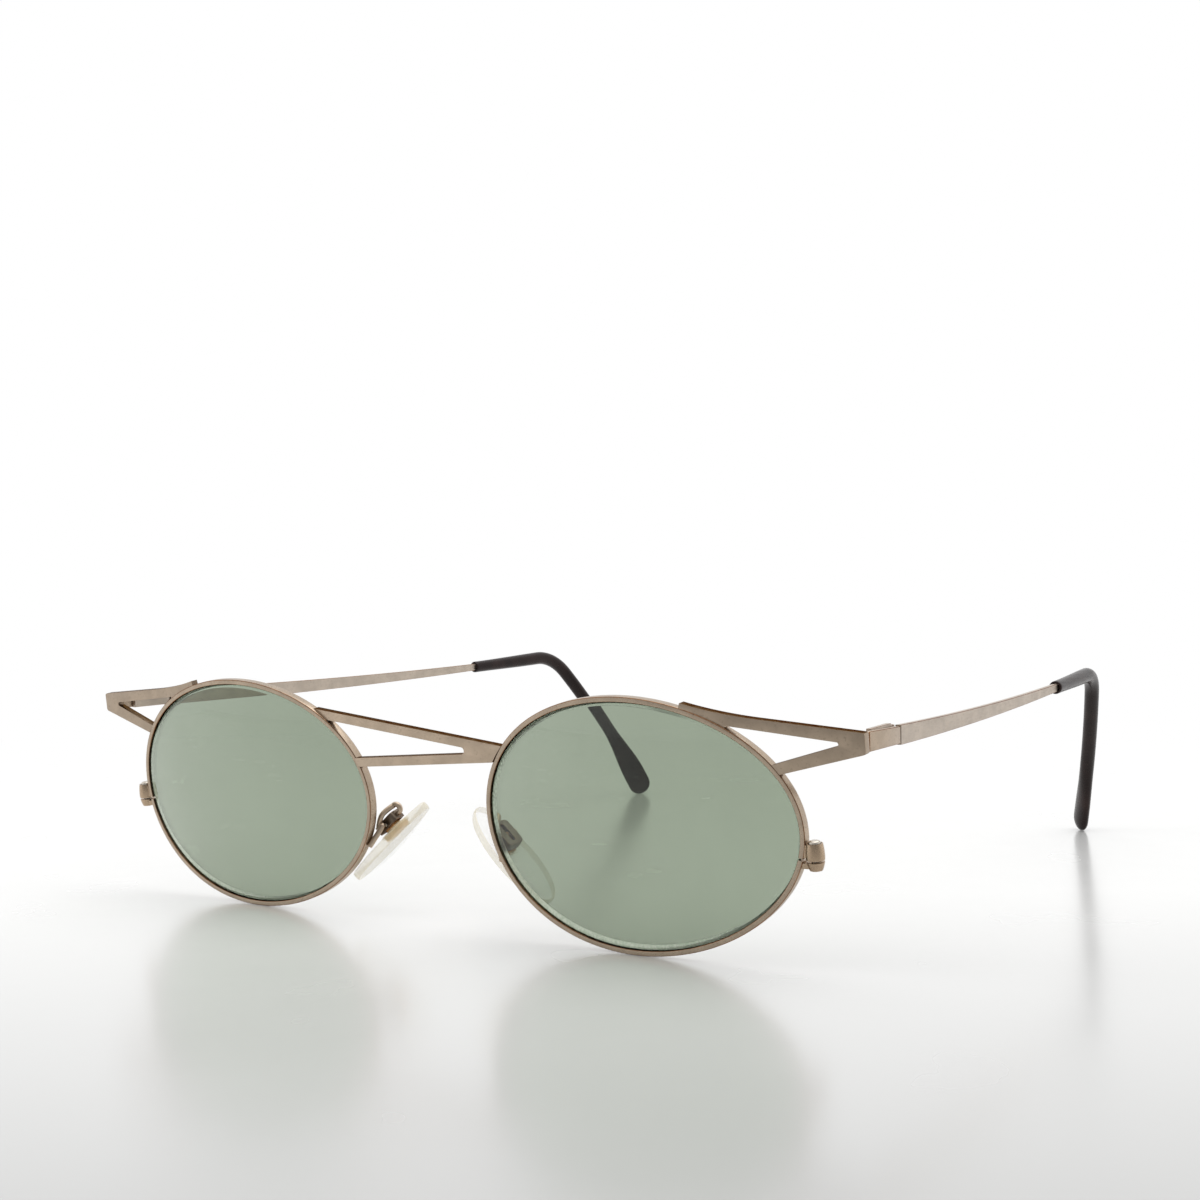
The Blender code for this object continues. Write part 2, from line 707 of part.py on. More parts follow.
def endpiece():
    """A plate with a wedge slot: its arm ends in a tongue along the rim, its leg stands on the rim."""
    end = endpiece_end()
    foot = ENDPIECE_TOP - ENDPIECE_HEIGHT
    top_slope = -math.tan(ENDPIECE_TOP_RISE)
    leg_slope = math.tan(LEG_RISE)
    tongue = Vector((EYE_X, 0)) + rim_point(TONGUE_ANGLE, TONGUE_WIDTH)
    tongue_foot = Vector((EYE_X, 0)) + rim_point(TONGUE_ANGLE, -RIM_WALL)
    along = rim_point(TONGUE_ANGLE + ANGLE_STEP) - rim_point(TONGUE_ANGLE - ANGLE_STEP)
    top_corner = Vector((end, ENDPIECE_TOP))
    foot_corner = Vector((end, foot))
    control = meeting(tongue, along.y / along.x, top_corner, top_slope)
    blend_end = control + Vector((1, top_slope)).normalized() * (TONGUE_BLEND / 2)
    rim_inside = EYE_X + RIM_HALF_WIDTH - LEG_ROOT
    leg_end = Vector((rim_inside, foot + leg_slope * (rim_inside - end)))
    outline = quadratic(tongue, control, blend_end, 6)
    outline += rounded(top_corner, blend_end, foot_corner, ENDPIECE_CORNER)
    outline += rounded(foot_corner, top_corner, leg_end, ENDPIECE_CORNER)
    outline += [leg_end, tongue_foot]
    thick = ENDPIECE_THICKNESS
    plate = prism(outline, endpiece_depth, lambda x: endpiece_depth(x) + thick, PLATE_BEVEL)
    body = solid("endpiece", plate, front_frame())
    at_rim = end - ENDPIECE_REACH
    upper = Vector((at_rim, ENDPIECE_TOP - UPPER_ARM - top_slope * ENDPIECE_REACH))
    lower = Vector((at_rim, foot + LEG_WIDTH - leg_slope * ENDPIECE_REACH))
    upper_slope = top_slope - math.tan(UPPER_ARM_TAPER)
    lower_slope = leg_slope + math.tan(LEG_TAPER)
    slot = wedge(rim_inside, upper, upper_slope, lower, lower_slope, ENDPIECE_SLOT_RADIUS)
    through = prism(slot, lambda x: endpiece_depth(x) - thick, lambda x: endpiece_depth(x) + 2 * thick)
    return cut(body, solid("slot", through, front_frame()), rim_clearance())


# Hinges


def knuckle_band(index):
    """The low and high of one of the hinge's three knuckles, counted from below."""
    low = -HINGE_HEIGHT / 2 + index * (KNUCKLE_HEIGHT + KNUCKLE_GAP)
    return low, low + KNUCKLE_HEIGHT


def hinge_finger(index, back):
    """A knuckle with a finger that reaches into its leaf, behind the axis or in front of it."""
    low, high = knuckle_band(index)
    inner, outer, start = leaf_place()
    outline = arc(Vector((0, 0)), KNUCKLE_RADIUS, math.pi, 2 * math.pi, TURN_STEPS // 2)
    end = start + LEAF_THICKNESS
    outline += [Vector((outer - LEAF_EDGE, end)), Vector((inner + LEAF_EDGE, end))]
    if not back:
        outline = [Vector((p.x, -p.y)) for p in outline]
    return solid("finger", slab(outline, low, high), hinge_frame())


def leaf_place():
    """Where the leaves lie: their inner and outer faces, and how far from the axis they start."""
    outer = KNUCKLE_RADIUS + HINGE_CLEARANCE - SOLDER_GAP
    return outer - LEAF_THICKNESS, outer, KNUCKLE_RADIUS + 2 * HINGE_CLEARANCE


def hinge_front():
    """The leaf on the block's inner face, with the upper and lower knuckles and the screw head's seat."""
    inner, outer, start = leaf_place()
    half = HINGE_HEIGHT / 2
    leaf = box((inner, -start - FRONT_LEAF_LENGTH, -FRONT_LEAF_BELOW), (outer, -start, FRONT_LEAF_ABOVE))
    body = solid("hinge_front", leaf, hinge_frame())
    join(body, hinge_finger(0, back=False), hinge_finger(2, back=False))
    shank, head = HINGE_SCREW_RADIUS + SCREW_FIT, HINGE_SCREW_HEAD + SCREW_FIT / 2
    bore = stepped_rod(shank, -HINGE_HEIGHT, head, half - HINGE_SCREW_HEAD_HEIGHT, HINGE_HEIGHT)
    return cut(body, solid("bore", bore, hinge_frame()))


def hinge_screw():
    half = HINGE_HEIGHT / 2
    seat = half - HINGE_SCREW_HEAD_HEIGHT + KNUCKLE_GAP / 2
    made = screw(HINGE_SCREW_RADIUS, HINGE_SCREW_HEAD, HINGE_SCREW_HEAD_HEIGHT, seat, -half)
    return solid("hinge_screw", made, hinge_frame())


def hinge_temple():
    """The leaf on the strip's inner face, with the middle knuckle."""
    inner, outer, start = leaf_place()
    half, end = TEMPLE_LEAF_HEIGHT / 2, start + TEMPLE_LEAF_LENGTH
    leaf = box((inner, start, -half), (outer, end, half))
    body = join(solid("hinge_temple", leaf, hinge_frame()), hinge_finger(1, back=True))
    bore = rod(HINGE_SCREW_RADIUS + SCREW_FIT, -HINGE_HEIGHT, HINGE_HEIGHT)
    return cut(body, solid("bore", bore, hinge_frame()))


# Temples


def temple_sag(along):
    """The centre line's height: the temple dips a little between the hinge and the bend."""
    half = BEND_START / 2
    return -TEMPLE_SAG * (1 - ((along - half) / half) ** 2)


def drop_turn():
    """The angle at which the tip's centre line ends, so that its rounded end stands on the floor."""
    start = (temple_frame() @ Vector((0, BEND_START, temple_sag(BEND_START)))).z
    bend_fall = BEND_RADIUS * (1 - math.cos(BEND_ANGLE))
    end_height = 0.0
    for _ in range(4):
        fall = (start - end_height) / math.cos(DROP_LEAN) - bend_fall
        turn = math.acos(math.cos(BEND_ANGLE) - fall / DROP_RADIUS)
        height, out = temple_station(length_to(turn), PADDLE_TWIST - DROP_LEAN)[1:]
        nose = PADDLE_ROUND * height.cross(out).z
        reach = Vector((nose, PADDLE_WIDTH / 2 * height.z, PADDLE_THICKNESS / 2 * out.z)).length
        end_height = reach - abs(nose)
    return turn


def length_to(turn):
    """The centre line's length from the front to where the drop has turned this far."""
    return BEND_START + BEND_RADIUS * BEND_ANGLE + DROP_RADIUS * (turn - BEND_ANGLE)


def temple_length():
    return length_to(drop_turn())


def temple_station(along, twist=0.0):
    """A place on the temple's centre line, with the directions of its height and its thickness there."""
    back = Vector((0, 1, 0))
    down = Vector((-math.sin(DROP_LEAN), 0, -math.cos(DROP_LEAN)))
    straight = min(along, BEND_START)
    point = Vector((0, straight, temple_sag(straight)))
    in_bend = min(max(along - BEND_START, 0) / BEND_RADIUS, BEND_ANGLE)
    point += back * (BEND_RADIUS * math.sin(in_bend)) + down * (BEND_RADIUS * (1 - math.cos(in_bend)))
    in_drop = max(along - BEND_START - BEND_RADIUS * BEND_ANGLE, 0) / DROP_RADIUS
    angle = in_bend + in_drop
    point += back * (DROP_RADIUS * (math.sin(angle) - math.sin(in_bend)))
    point += down * (DROP_RADIUS * (math.cos(in_bend) - math.cos(angle)))
    heading = back * math.cos(angle) + down * math.sin(angle)
    height = back * math.sin(angle) - down * math.cos(angle)
    turn = Matrix.Rotation(-DROP_LEAN - twist, 3, heading)
    height = turn @ height
    return point, height, height.cross(heading)


def temple_ring(along, outline, twist=0.0):
    """A section of the temple: outline points as (thickness, height) about its centre line."""
    point, height, out = temple_station(along, twist)
    return [point + out * p.x + height * p.y for p in outline]


def endpiece_block():
    """The block behind the endpiece's plate, which carries the front leaf of the hinge."""
    rings = []
    for along, height, thinner in (
        (0, BLOCK_HEIGHT, BLOCK_CORNER),
        (BLOCK_CORNER, BLOCK_HEIGHT, 0),
        (BLOCK_LENGTH - BLOCK_CORNER, BLOCK_END_HEIGHT, 0),
        (BLOCK_LENGTH, BLOCK_END_HEIGHT, BLOCK_CORNER / 2),
    ):
        outline = rounded_rectangle(TEMPLE_THICKNESS - thinner, height - thinner, STRIP_CORNER, 1)
        rings.append(temple_ring(along, outline))
    return solid("endpiece_block", skin(rings), temple_frame())


def core_stations():
    """Places along the core wire inside the tip, closer together round the bend."""
    end = temple_length() - CORE_SHORT_OF_END
    bend_end = BEND_START + BEND_RADIUS * BEND_ANGLE
    stations = [BEND_START + (bend_end - BEND_START) * i / BEND_RINGS for i in range(BEND_RINGS + 1)]
    return stations + [(bend_end + end) / 2, end]


def temple_strip():
    """A tapering strip that runs into the tip as its core wire."""
    start = BLOCK_LENGTH + BUTT_GAP
    rings = []
    for i in range(STRIP_RINGS + 1):
        share = i / STRIP_RINGS
        along = start + (COLLAR_AT - start) * share
        height = STRIP_HEIGHT + (STRIP_END_HEIGHT - STRIP_HEIGHT) * share
        rings.append(temple_ring(along, rounded_rectangle(TEMPLE_THICKNESS, height, STRIP_CORNER, 1)))
    first = math.pi / WIRE_SIDES
    wire = arc(Vector((0, 0)), CORE_RADIUS, first, 2 * math.pi + first, WIRE_SIDES)[:-1]
    blend = COLLAR_AT + CORE_BLEND
    for along in [blend, (blend + BEND_START) / 2] + core_stations():
        rings.append(temple_ring(along, wire))
    return solid("temple_strip", skin(rings), temple_frame())


def smooth_step(value):
    value = min(max(value, 0), 1)
    return value * value * (3 - 2 * value)


def tip_section(along):
    """The tip's (thickness, width, twist) at a place on the centre line."""
    end = temple_length()
    swell = smooth_step((along - COLLAR_AT) / (BEND_START - COLLAR_AT))
    paddle = smooth_step((along - end + PADDLE_LENGTH) / (PADDLE_LENGTH - 2 * PADDLE_ROUND))
    round_width = COLLAR_WIDTH + (TIP_WIDTH - COLLAR_WIDTH) * swell
    into_end = max(along - end + PADDLE_ROUND, 0) / PADDLE_ROUND
    closing = math.sqrt(max(1 - into_end**2, 0))
    width = round_width + (PADDLE_WIDTH - round_width) * paddle
    thickness = round_width + (PADDLE_THICKNESS - round_width) * paddle
    after_bend = smooth_step((along - BEND_START) / (end - BEND_START - PADDLE_ROUND))
    return thickness * closing, width * closing, (PADDLE_TWIST - DROP_LEAN) * after_bend


def oval(thickness, width, sides=TIP_SIDES):
    return [Vector((thickness / 2 * math.cos(a), width / 2 * math.sin(a))) for a in even_angles(sides)]


def temple_tip():
    """The sleeve over the core wire: bent down behind the ear, widening to a rounded paddle."""
    end = temple_length()
    bore_end = end - CORE_SHORT_OF_END + 2 * CORE_FIT
    bore = oval(2 * (CORE_RADIUS + CORE_FIT), 2 * (CORE_RADIUS + CORE_FIT))
    inner = [bore_end] + core_stations()[-2::-1] + [(COLLAR_AT + BEND_START) / 2, COLLAR_AT]
    rings = [temple_ring(along, bore) for along in inner]
    rings.append(temple_ring(COLLAR_AT, oval(COLLAR_WIDTH - COLLAR_CHAMFER, COLLAR_WIDTH - COLLAR_CHAMFER)))
    outer = [COLLAR_AT + COLLAR_CHAMFER, (COLLAR_AT + BEND_START) / 2] + core_stations()[:-1]
    paddle_start = end - PADDLE_LENGTH
    outer += [(core_stations()[-2] + paddle_start) / 2]
    widening = PADDLE_LENGTH - PADDLE_ROUND
    outer += [paddle_start + widening * i / PADDLE_RINGS for i in range(PADDLE_RINGS + 1)]
    outer += [end - PADDLE_ROUND * (1 - math.sin(a)) for a in (math.pi / 6, math.pi / 3)]
    for along in outer:
        thickness, width, twist = tip_section(along)
        rings.append(temple_ring(along, oval(thickness, width), twist))
    rings.append([temple_station(end)[0]])
    return solid("temple_tip", skin(rings), temple_frame())


# Nose pads


def pad_arm():
    """A wire from the rim's nose side, up past the pad box and curled over into the box's top end."""
    off_rim = ARM_RADIUS + SOLDER_GAP
    foot = rim_point(angle_at_height(-ARM_FOOT_DROP, nasal=True), off_rim)
    side = rim_point(angle_at_height(-ARM_SIDE_DROP, nasal=True), off_rim)
    eye, pad = eye_frame(), pad_frame()
    box_middle = AXIS_BELOW_BOX_EDGE - BOX_DEPTH / 2
    curl = (BOX_DEPTH / 2 + ARM_BOX_GAP + ARM_RADIUS) / 2
    box_end = -BOX_LENGTH / 2 - SOLDER_GAP
    start = box_end - ARM_LEAD
    path = smooth_path([
        eye @ Vector((foot.x, face_depth(foot) + RIM_DEPTH / 2, foot.y)),
        eye @ Vector((side.x, face_depth(side) + RIM_DEPTH / 2 + ARM_SIDE_BACK, side.y)),
        pad @ Vector((ARM_PASS_DOWN, BOX_WIDTH / 2 + ARM_BOX_GAP + ARM_RADIUS, -ARM_PASS_OUT)),
        pad @ Vector((-ARM_CORNER_UP, BOX_WIDTH / 2 + ARM_BOX_GAP, box_middle - 2 * curl)),
        pad @ Vector((start, 0, box_middle - 2 * curl)),
    ], 4)
    half_turn = arc(Vector((start, box_middle - curl)), curl, -math.pi / 2, -1.5 * math.pi, TURN_STEPS // 2)
    for point in half_turn[1:]:
        path.append(pad @ Vector((point.x, 0, point.y)))
    path.append(pad @ Vector((box_end, 0, box_middle)))
    return solid("pad_arm", tube(path, ARM_RADIUS))


def pad_box():
    """A cup with round corners, open towards the pad, with a slot in its floor and the screw's holes."""
    frame = pad_frame()
    top = AXIS_BELOW_BOX_EDGE
    floor = top - BOX_DEPTH
    outer = rounded_rectangle(BOX_LENGTH, BOX_WIDTH, BOX_CORNER)
    both = 2 * BOX_WALL
    inner = rounded_rectangle(BOX_LENGTH - both, BOX_WIDTH - both, BOX_CORNER - BOX_WALL / 2)
    slot = rounded_rectangle(BOX_SLOT_LENGTH, BOX_SLOT_WIDTH, BOX_SLOT_CORNER)
    body = solid("pad_box", slab(outer, floor, top), frame)
    hollow = solid("hollow", slab(inner, floor + BOX_FLOOR, top + BOX_FLOOR), frame)
    window = solid("window", slab(slot, floor - BOX_FLOOR, floor + 2 * BOX_FLOOR), frame)
    hole = rod(PAD_SCREW_RADIUS + SCREW_FIT, -BOX_WIDTH, BOX_WIDTH)
    return cut(body, hollow, window, solid("hole", hole, frame @ screw_turn()))


def screw_turn():
    """Turns an upright screw to lie along the pad screw's axis, its head to the back."""
    return Matrix.Rotation(math.pi / 2, 4, "X")


def pad_screw():
    seat = BOX_WIDTH / 2 + SCREW_FIT
    made = screw(PAD_SCREW_RADIUS, PAD_SCREW_HEAD, PAD_SCREW_HEAD_HEIGHT, seat, -BOX_WIDTH / 2)
    return solid("pad_screw", made, pad_frame() @ screw_turn())


def pad_insert():
    """The pad's core: a foot plate set in the pad and a stem that the pad screw runs through."""
    frame = pad_frame()
    foot_top = AXIS_BELOW_BOX_EDGE + BOX_PAD_GAP + INSERT_FIT / 2
    inside = foot_top + INSERT_THICKNESS / 2
    outline = arc(Vector((0, 0)), STEM_RADIUS, math.pi, 2 * math.pi, TURN_STEPS // 2)
    outline += [Vector((STEM_ROOT, AXIS_BELOW_BOX_EDGE)), Vector((STEM_ROOT, inside))]
    outline += [Vector((-STEM_ROOT, inside)), Vector((-STEM_ROOT, AXIS_BELOW_BOX_EDGE))]
    body = solid("pad_insert", prism(outline, -STEM_WIDTH / 2, STEM_WIDTH / 2), frame)
    plate = rounded_rectangle(INSERT_LENGTH, INSERT_WIDTH, BOX_CORNER)
    join(body, solid("foot", slab(plate, foot_top, foot_top + INSERT_THICKNESS), frame))
    hole = rod(PAD_SCREW_RADIUS + SCREW_FIT, -BOX_WIDTH, BOX_WIDTH)
    return cut(body, solid("hole", hole, frame @ screw_turn()))


def pad_ring(inset, height):
    ring = []
    for angle in even_angles(PAD_STEPS):
        point = outline_point(pad_curve, angle, -inset)
        ring.append(Vector((point.x, point.y, height)))
    return ring


def nose_pad():
    """A soft oval pad, flat on the box's side and crowned towards the nose, with a boss for the insert."""
    flat, edge = pad_back(), pad_back() + PAD_EDGE
    rings = [[Vector((0, 0, flat))]]
    corner = PAD_ROUND * (1 - math.cos(math.pi / 4))
    rings.append(pad_ring(PAD_ROUND, flat))
    rings.append(pad_ring(corner, flat + corner))
    rings.append(pad_ring(0, flat + PAD_ROUND))
    rings.append(pad_ring(0, edge - PAD_ROUND))
    rings.append(pad_ring(corner, edge - corner))
    for i in range(CROWN_RINGS - 1, 0, -1):
        share = i / CROWN_RINGS
        height = edge + PAD_CROWN * (1 - share**2)
        rings.append([Vector((p.x * share, p.y * share, height)) for p in pad_ring(0, height)])
    rings.append([Vector((0, 0, edge + PAD_CROWN))])
    frame = pad_frame()
    body = solid("nose_pad", skin(rings), frame @ Matrix.Translation((PAD_STEM_ABOVE_CENTRE, 0, 0)))
    boss_top = flat - PAD_BOSS_HEIGHT
    boss = rounded_rectangle(PAD_BOSS_LENGTH, PAD_BOSS_WIDTH, PAD_BOSS_CORNER)
    join(body, solid("boss", slab(boss, boss_top, flat + PAD_EDGE / 2), frame))
    fit = 2 * INSERT_FIT
    pocket = rounded_rectangle(INSERT_LENGTH + fit, INSERT_WIDTH + fit, BOX_CORNER)
    depth = INSERT_FIT / 2 + INSERT_THICKNESS + INSERT_FIT
    return cut(body, solid("pocket", slab(pocket, boss_top - PAD_EDGE, boss_top + depth), frame))


# The whole object


def clear_scene():
    for obj in list(bpy.data.objects):
        bpy.data.objects.remove(obj)


def side_empties(side, root, front):
    """The empties that carry one side's pieces: the front, the pad's screw and the temple's hinge."""
    flip = Matrix.Scale(-1, 4, (1, 0, 0))
    pad, hinge = pad_frame(), hinge_frame()
    if side == "right":
        pad = flip @ pad @ Matrix.Scale(-1, 4, (0, 1, 0))
        hinge = flip @ hinge @ flip
    carriers = {"front": front}
    carriers["pad"] = empty(side + "_pad_pivot", pad, front)
    carriers["temple"] = empty(side + "_hinge_axis", hinge, root)
    return carriers


def paired_pieces(surfaces):
    """Each paired piece: its name, what models it, its material and what carries it."""
    metal, dark, steel = surfaces["metal"], surfaces["dark_metal"], surfaces["steel"]
    return (
        ("rim", rim, metal, "front"),
        ("lens", lens, surfaces["lens"], "front"),
        ("endpiece", endpiece, metal, "front"),
        ("endpiece_block", endpiece_block, metal, "front"),
        ("rim_barrel_upper", rim_barrel_upper, metal, "front"),
        ("rim_barrel_lower", rim_barrel_lower, metal, "front"),
        ("rim_screw", rim_screw, steel, "front"),
        ("pad_arm", pad_arm, metal, "front"),
        ("pad_box", pad_box, dark, "front"),
        ("pad_screw", pad_screw, steel, "front"),
        ("pad_insert", pad_insert, surfaces["amber"], "pad"),
        ("nose_pad", nose_pad, surfaces["silicone"], "pad"),
        ("hinge_front", hinge_front, dark, "front"),
        ("hinge_screw", hinge_screw, steel, "front"),
        ("hinge_temple", hinge_temple, dark, "temple"),
        ("temple_strip", temple_strip, metal, "temple"),
        ("temple_tip", temple_tip, surfaces["tip"], "temple"),
    )


def make_surfaces():
    return {
        "metal": material("satin_bronze", (0.36, 0.30, 0.24), 0.38, 1.0),
        "dark_metal": material("dark_bronze", (0.16, 0.13, 0.10), 0.42, 1.0),
        "steel": material("screw_steel", (0.55, 0.52, 0.48), 0.3, 1.0),
        "lens": material("green_lens", (0.36, 0.42, 0.33), 0.03, 0.0, 0.9),
        "amber": material("amber_core", (0.62, 0.42, 0.16), 0.25, 0.0, 0.6),
        "silicone": material("clear_silicone", (0.95, 0.93, 0.88), 0.2, 0.0, 0.9),
        "tip": material("dark_acetate", (0.045, 0.035, 0.033), 0.25, 0.0),
    }


def stand_on_floor(root):
    """Moves the whole object so that its origin is under the middle of its bounding box."""
    bpy.context.view_layer.update()
    solids = [obj for obj in bpy.data.objects if obj.type == "MESH"]
    corners = [obj.matrix_world @ vertex.co for obj in solids for vertex in obj.data.vertices]
    low = Vector([min(c[i] for c in corners) for i in range(3)])
    high = Vector([max(c[i] for c in corners) for i in range(3)])
    root.location -= Vector(((low.x + high.x) / 2, (low.y + high.y) / 2, low.z))
    bpy.context.view_layer.update()


def main():
    clear_scene()
    surfaces = make_surfaces()
    root = empty("sunglasses", Matrix.Identity(4))
    front = empty("front", front_frame(), root)
    left, right = side_empties("left", root, front), side_empties("right", root, front)
    finish(bridge(), surfaces["metal"], front)
    for name, model, surface, carrier in paired_pieces(surfaces):
        piece = model()
        piece.name = "left_" + name
        twin = mirrored(piece, "right_" + name)
        finish(piece, surface, left[carrier])
        finish(twin, surface, right[carrier])
    stand_on_floor(root)


if __name__ == "__main__":
    main()
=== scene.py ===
"""Round metal sunglasses on a pale glossy table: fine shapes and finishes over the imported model."""

import math

import bmesh
import bpy
from mathutils import Matrix, Vector


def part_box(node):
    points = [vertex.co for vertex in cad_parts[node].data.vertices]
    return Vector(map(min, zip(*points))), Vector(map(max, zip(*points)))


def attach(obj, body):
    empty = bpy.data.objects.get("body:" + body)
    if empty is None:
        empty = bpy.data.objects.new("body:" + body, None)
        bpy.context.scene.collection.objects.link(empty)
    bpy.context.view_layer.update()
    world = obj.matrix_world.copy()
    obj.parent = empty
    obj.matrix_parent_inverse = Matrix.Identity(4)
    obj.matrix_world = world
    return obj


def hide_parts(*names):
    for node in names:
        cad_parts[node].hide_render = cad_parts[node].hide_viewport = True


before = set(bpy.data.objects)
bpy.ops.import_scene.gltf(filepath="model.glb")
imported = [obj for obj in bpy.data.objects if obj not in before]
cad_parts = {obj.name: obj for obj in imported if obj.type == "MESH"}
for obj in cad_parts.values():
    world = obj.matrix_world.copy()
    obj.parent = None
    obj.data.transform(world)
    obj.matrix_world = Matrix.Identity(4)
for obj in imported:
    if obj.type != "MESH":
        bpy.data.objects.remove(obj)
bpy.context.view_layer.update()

bl_info = {
    "name": "Round Metal Sunglasses",
    "version": (1, 0, 0),
    "blender": (4, 5, 0),
    "location": "3D View > Sidebar > Sunglasses",
    "description": "Builds the fine shapes and finishes of a pair of round metal sunglasses",
    "category": "Object",
}

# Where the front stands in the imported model, how far soldered pieces bite in and how far other
# pieces stand apart
FRONT_AT = -0.065388
SOLDER_BITE = -0.00003
SOLDER_GAP = 0.00012

# Lenses and rims
NASAL_FULLNESS = 0.02
LENS_CURVE = 0.0705
LENS_SETBACK = 0.0005
LENS_FIT = 0.00012
BEVEL_FRONT = 0.00045
BEVEL_BACK = 0.0007
BEVEL_DEPTH = 0.00055
GROOVE_DEPTH = 0.00035
GROOVE_WIDTH = 0.0009
RIM_SLIT = 0.0003
WRAP = math.radians(2.3)
FRONT_TILT = math.radians(6.5)

# Rim closing barrels, on the temple side of each rim
SLIT_DROP = 0.0034
BARREL_RADIUS = 0.00124
BARREL_OFFSET = 0.00148
BARREL_TOP_RADIUS = 0.00108
BARREL_FOOT_RADIUS = 0.00085
BARREL_HEAD_ROOM = 0.0003
BARREL_UPPER = 0.0021
BARREL_LOWER = 0.0011
BARREL_WEB = 0.0012
BARREL_WEB_INSET = 0.0002
RIM_SCREW_RADIUS = 0.0005
RIM_SCREW_HEAD = 0.0008
RIM_SCREW_HEAD_HEIGHT = 0.0006
RIM_SCREW_TURN = math.radians(70)
SCREW_FIT = 0.0001

# Every screw: its end's chamfer as a share of the shank's radius, the flat middle of its head and
# the round rest as shares of the head's radius, the head's wall, dome and slot as shares of its
# height, and the length of the saw that cuts the slot
SCREW_CHAMFER = 0.2
SCREW_FLAT = 0.55
SCREW_ROUND = 0.45
SCREW_WALL = 0.45
SCREW_DOME = 0.5
SCREW_SLOT_DEPTH = 0.55
SAW_LENGTH = 0.01

# Bridge: heights over the lens centres where its edges pass the rims
BRIDGE_FRONT = 0.0030
BRIDGE_TOP_AT_RIGHT = 0.01266
BRIDGE_TOP_AT_LEFT = 0.01018
BRIDGE_FOOT_AT_RIGHT = 0.00535
BRIDGE_FOOT_AT_LEFT = 0.00716
BRIDGE_ROOT = 0.0124
BRIDGE_SLOT_RADIUS = 0.0005

# Endpieces
ENDPIECE_FRONT = 0.0050
ENDPIECE_SWEEP_INSET = 0.00225
ENDPIECE_SWEEP = math.radians(8.64)
ENDPIECE_REACH = 0.0086
ENDPIECE_TOP = 0.01337
ENDPIECE_HEIGHT = 0.00274
ENDPIECE_TOP_RISE = math.radians(6.5)
ENDPIECE_CORNER = 0.0004
TONGUE_ANGLE = math.radians(69.3)
TONGUE_WIDTH = 0.00065
TONGUE_BLEND = 0.0109
UPPER_ARM = 0.00155
UPPER_ARM_TAPER = math.radians(0.9)
LEG_ROOT = 0.0099
LEG_WIDTH = 0.00165
LEG_RISE = math.radians(13.8)
LEG_TAPER = math.radians(2.7)
ENDPIECE_SLOT_RADIUS = 0.00028

# Hinges, on the inner faces of the block and the strip, with their axes at the line between the two
KNUCKLE_RADIUS = 0.0009
KNUCKLE_HEIGHT = 0.00078
KNUCKLE_GAP = 0.0001
HINGE_HEIGHT = 3 * KNUCKLE_HEIGHT + 2 * KNUCKLE_GAP
HINGE_CLEARANCE = 0.00015
HINGE_SCREW_RADIUS = 0.00035
HINGE_SCREW_HEAD = 0.0006
HINGE_SCREW_HEAD_HEIGHT = 0.0003
HINGE_SCREW_TURN = math.radians(35)
LEAF_THICKNESS = 0.0007
LEAF_EDGE = 0.00009
FRONT_LEAF_ABOVE = 0.0016
FRONT_LEAF_BELOW = 0.001
FRONT_LEAF_LENGTH = 0.0070
TEMPLE_LEAF_HEIGHT = 0.0017
TEMPLE_LEAF_LENGTH = 0.0048

# Temples
TEMPLE_TOE = math.radians(6.1)
TEMPLE_INSET = 0.0001
TEMPLE_SAG = 0.00085
BLOCK_LENGTH = 0.0112
BLOCK_HEIGHT = 0.00253
BLOCK_END_HEIGHT = 0.00225
BLOCK_CORNER = 0.00025
STRIP_HEIGHT = 0.0026
STRIP_END_HEIGHT = 0.00125
STRIP_CORNER = 0.0001
BUTT_GAP = 0.00012
COLLAR_AT = 0.0835
CORE_RADIUS = 0.0006
CORE_BLEND = 0.0024
CORE_FIT = 0.00012
CORE_SHORT_OF_END = 0.015
BEND_START = 0.1019
BEND_RADIUS = 0.0090
BEND_ANGLE = math.radians(52)
DROP_RADIUS = 0.110
DROP_LEAN = math.radians(14)

# Temple tips
COLLAR_WIDTH = 0.0021
COLLAR_CHAMFER = 0.0002
TIP_WIDTH = 0.00245
PADDLE_WIDTH = 0.0045
PADDLE_THICKNESS = 0.0021
PADDLE_LENGTH = 0.016
PADDLE_ROUND = 0.0022
PADDLE_TWIST = math.radians(40)

# Nose pads and what carries them
PAD_FULLNESS = 0.08
PAD_EDGE = 0.0013
PAD_CROWN = 0.0009
PAD_ROUND = 0.0004
PAD_OFF_RIM = 0.00084
PAD_BEHIND_RIM = 0.00482
PAD_DROP = 0.0062
PAD_SPLAY = math.radians(48.8)
PAD_TURN = math.radians(13)
PAD_STEM_ABOVE_CENTRE = 0.0021
PAD_BOSS_HEIGHT = 0.00035
PAD_BOSS_LENGTH = 0.0050
PAD_BOSS_WIDTH = 0.0034
PAD_BOSS_CORNER = 0.0013
INSERT_LENGTH = 0.0040
INSERT_WIDTH = 0.0024
INSERT_THICKNESS = 0.00085
INSERT_FIT = 0.0001
STEM_RADIUS = 0.0005
STEM_WIDTH = 0.0017
STEM_ROOT = 0.0010
BOX_LENGTH = 0.0042
BOX_WIDTH = 0.0027
BOX_DEPTH = 0.0014
BOX_WALL = 0.0004
BOX_FLOOR = 0.00025
BOX_CORNER = 0.0006
BOX_SLOT_LENGTH = 0.0030
BOX_SLOT_WIDTH = 0.0006
BOX_SLOT_CORNER = 0.00029
BOX_PAD_GAP = 0.0004
AXIS_BELOW_BOX_EDGE = 0.0006
PAD_SCREW_RADIUS = 0.00025
PAD_SCREW_HEAD = 0.0006
PAD_SCREW_HEAD_HEIGHT = 0.0004
ARM_FOOT_DROP = 0.0067
ARM_SIDE_DROP = 0.0040
ARM_SIDE_BACK = 0.0014
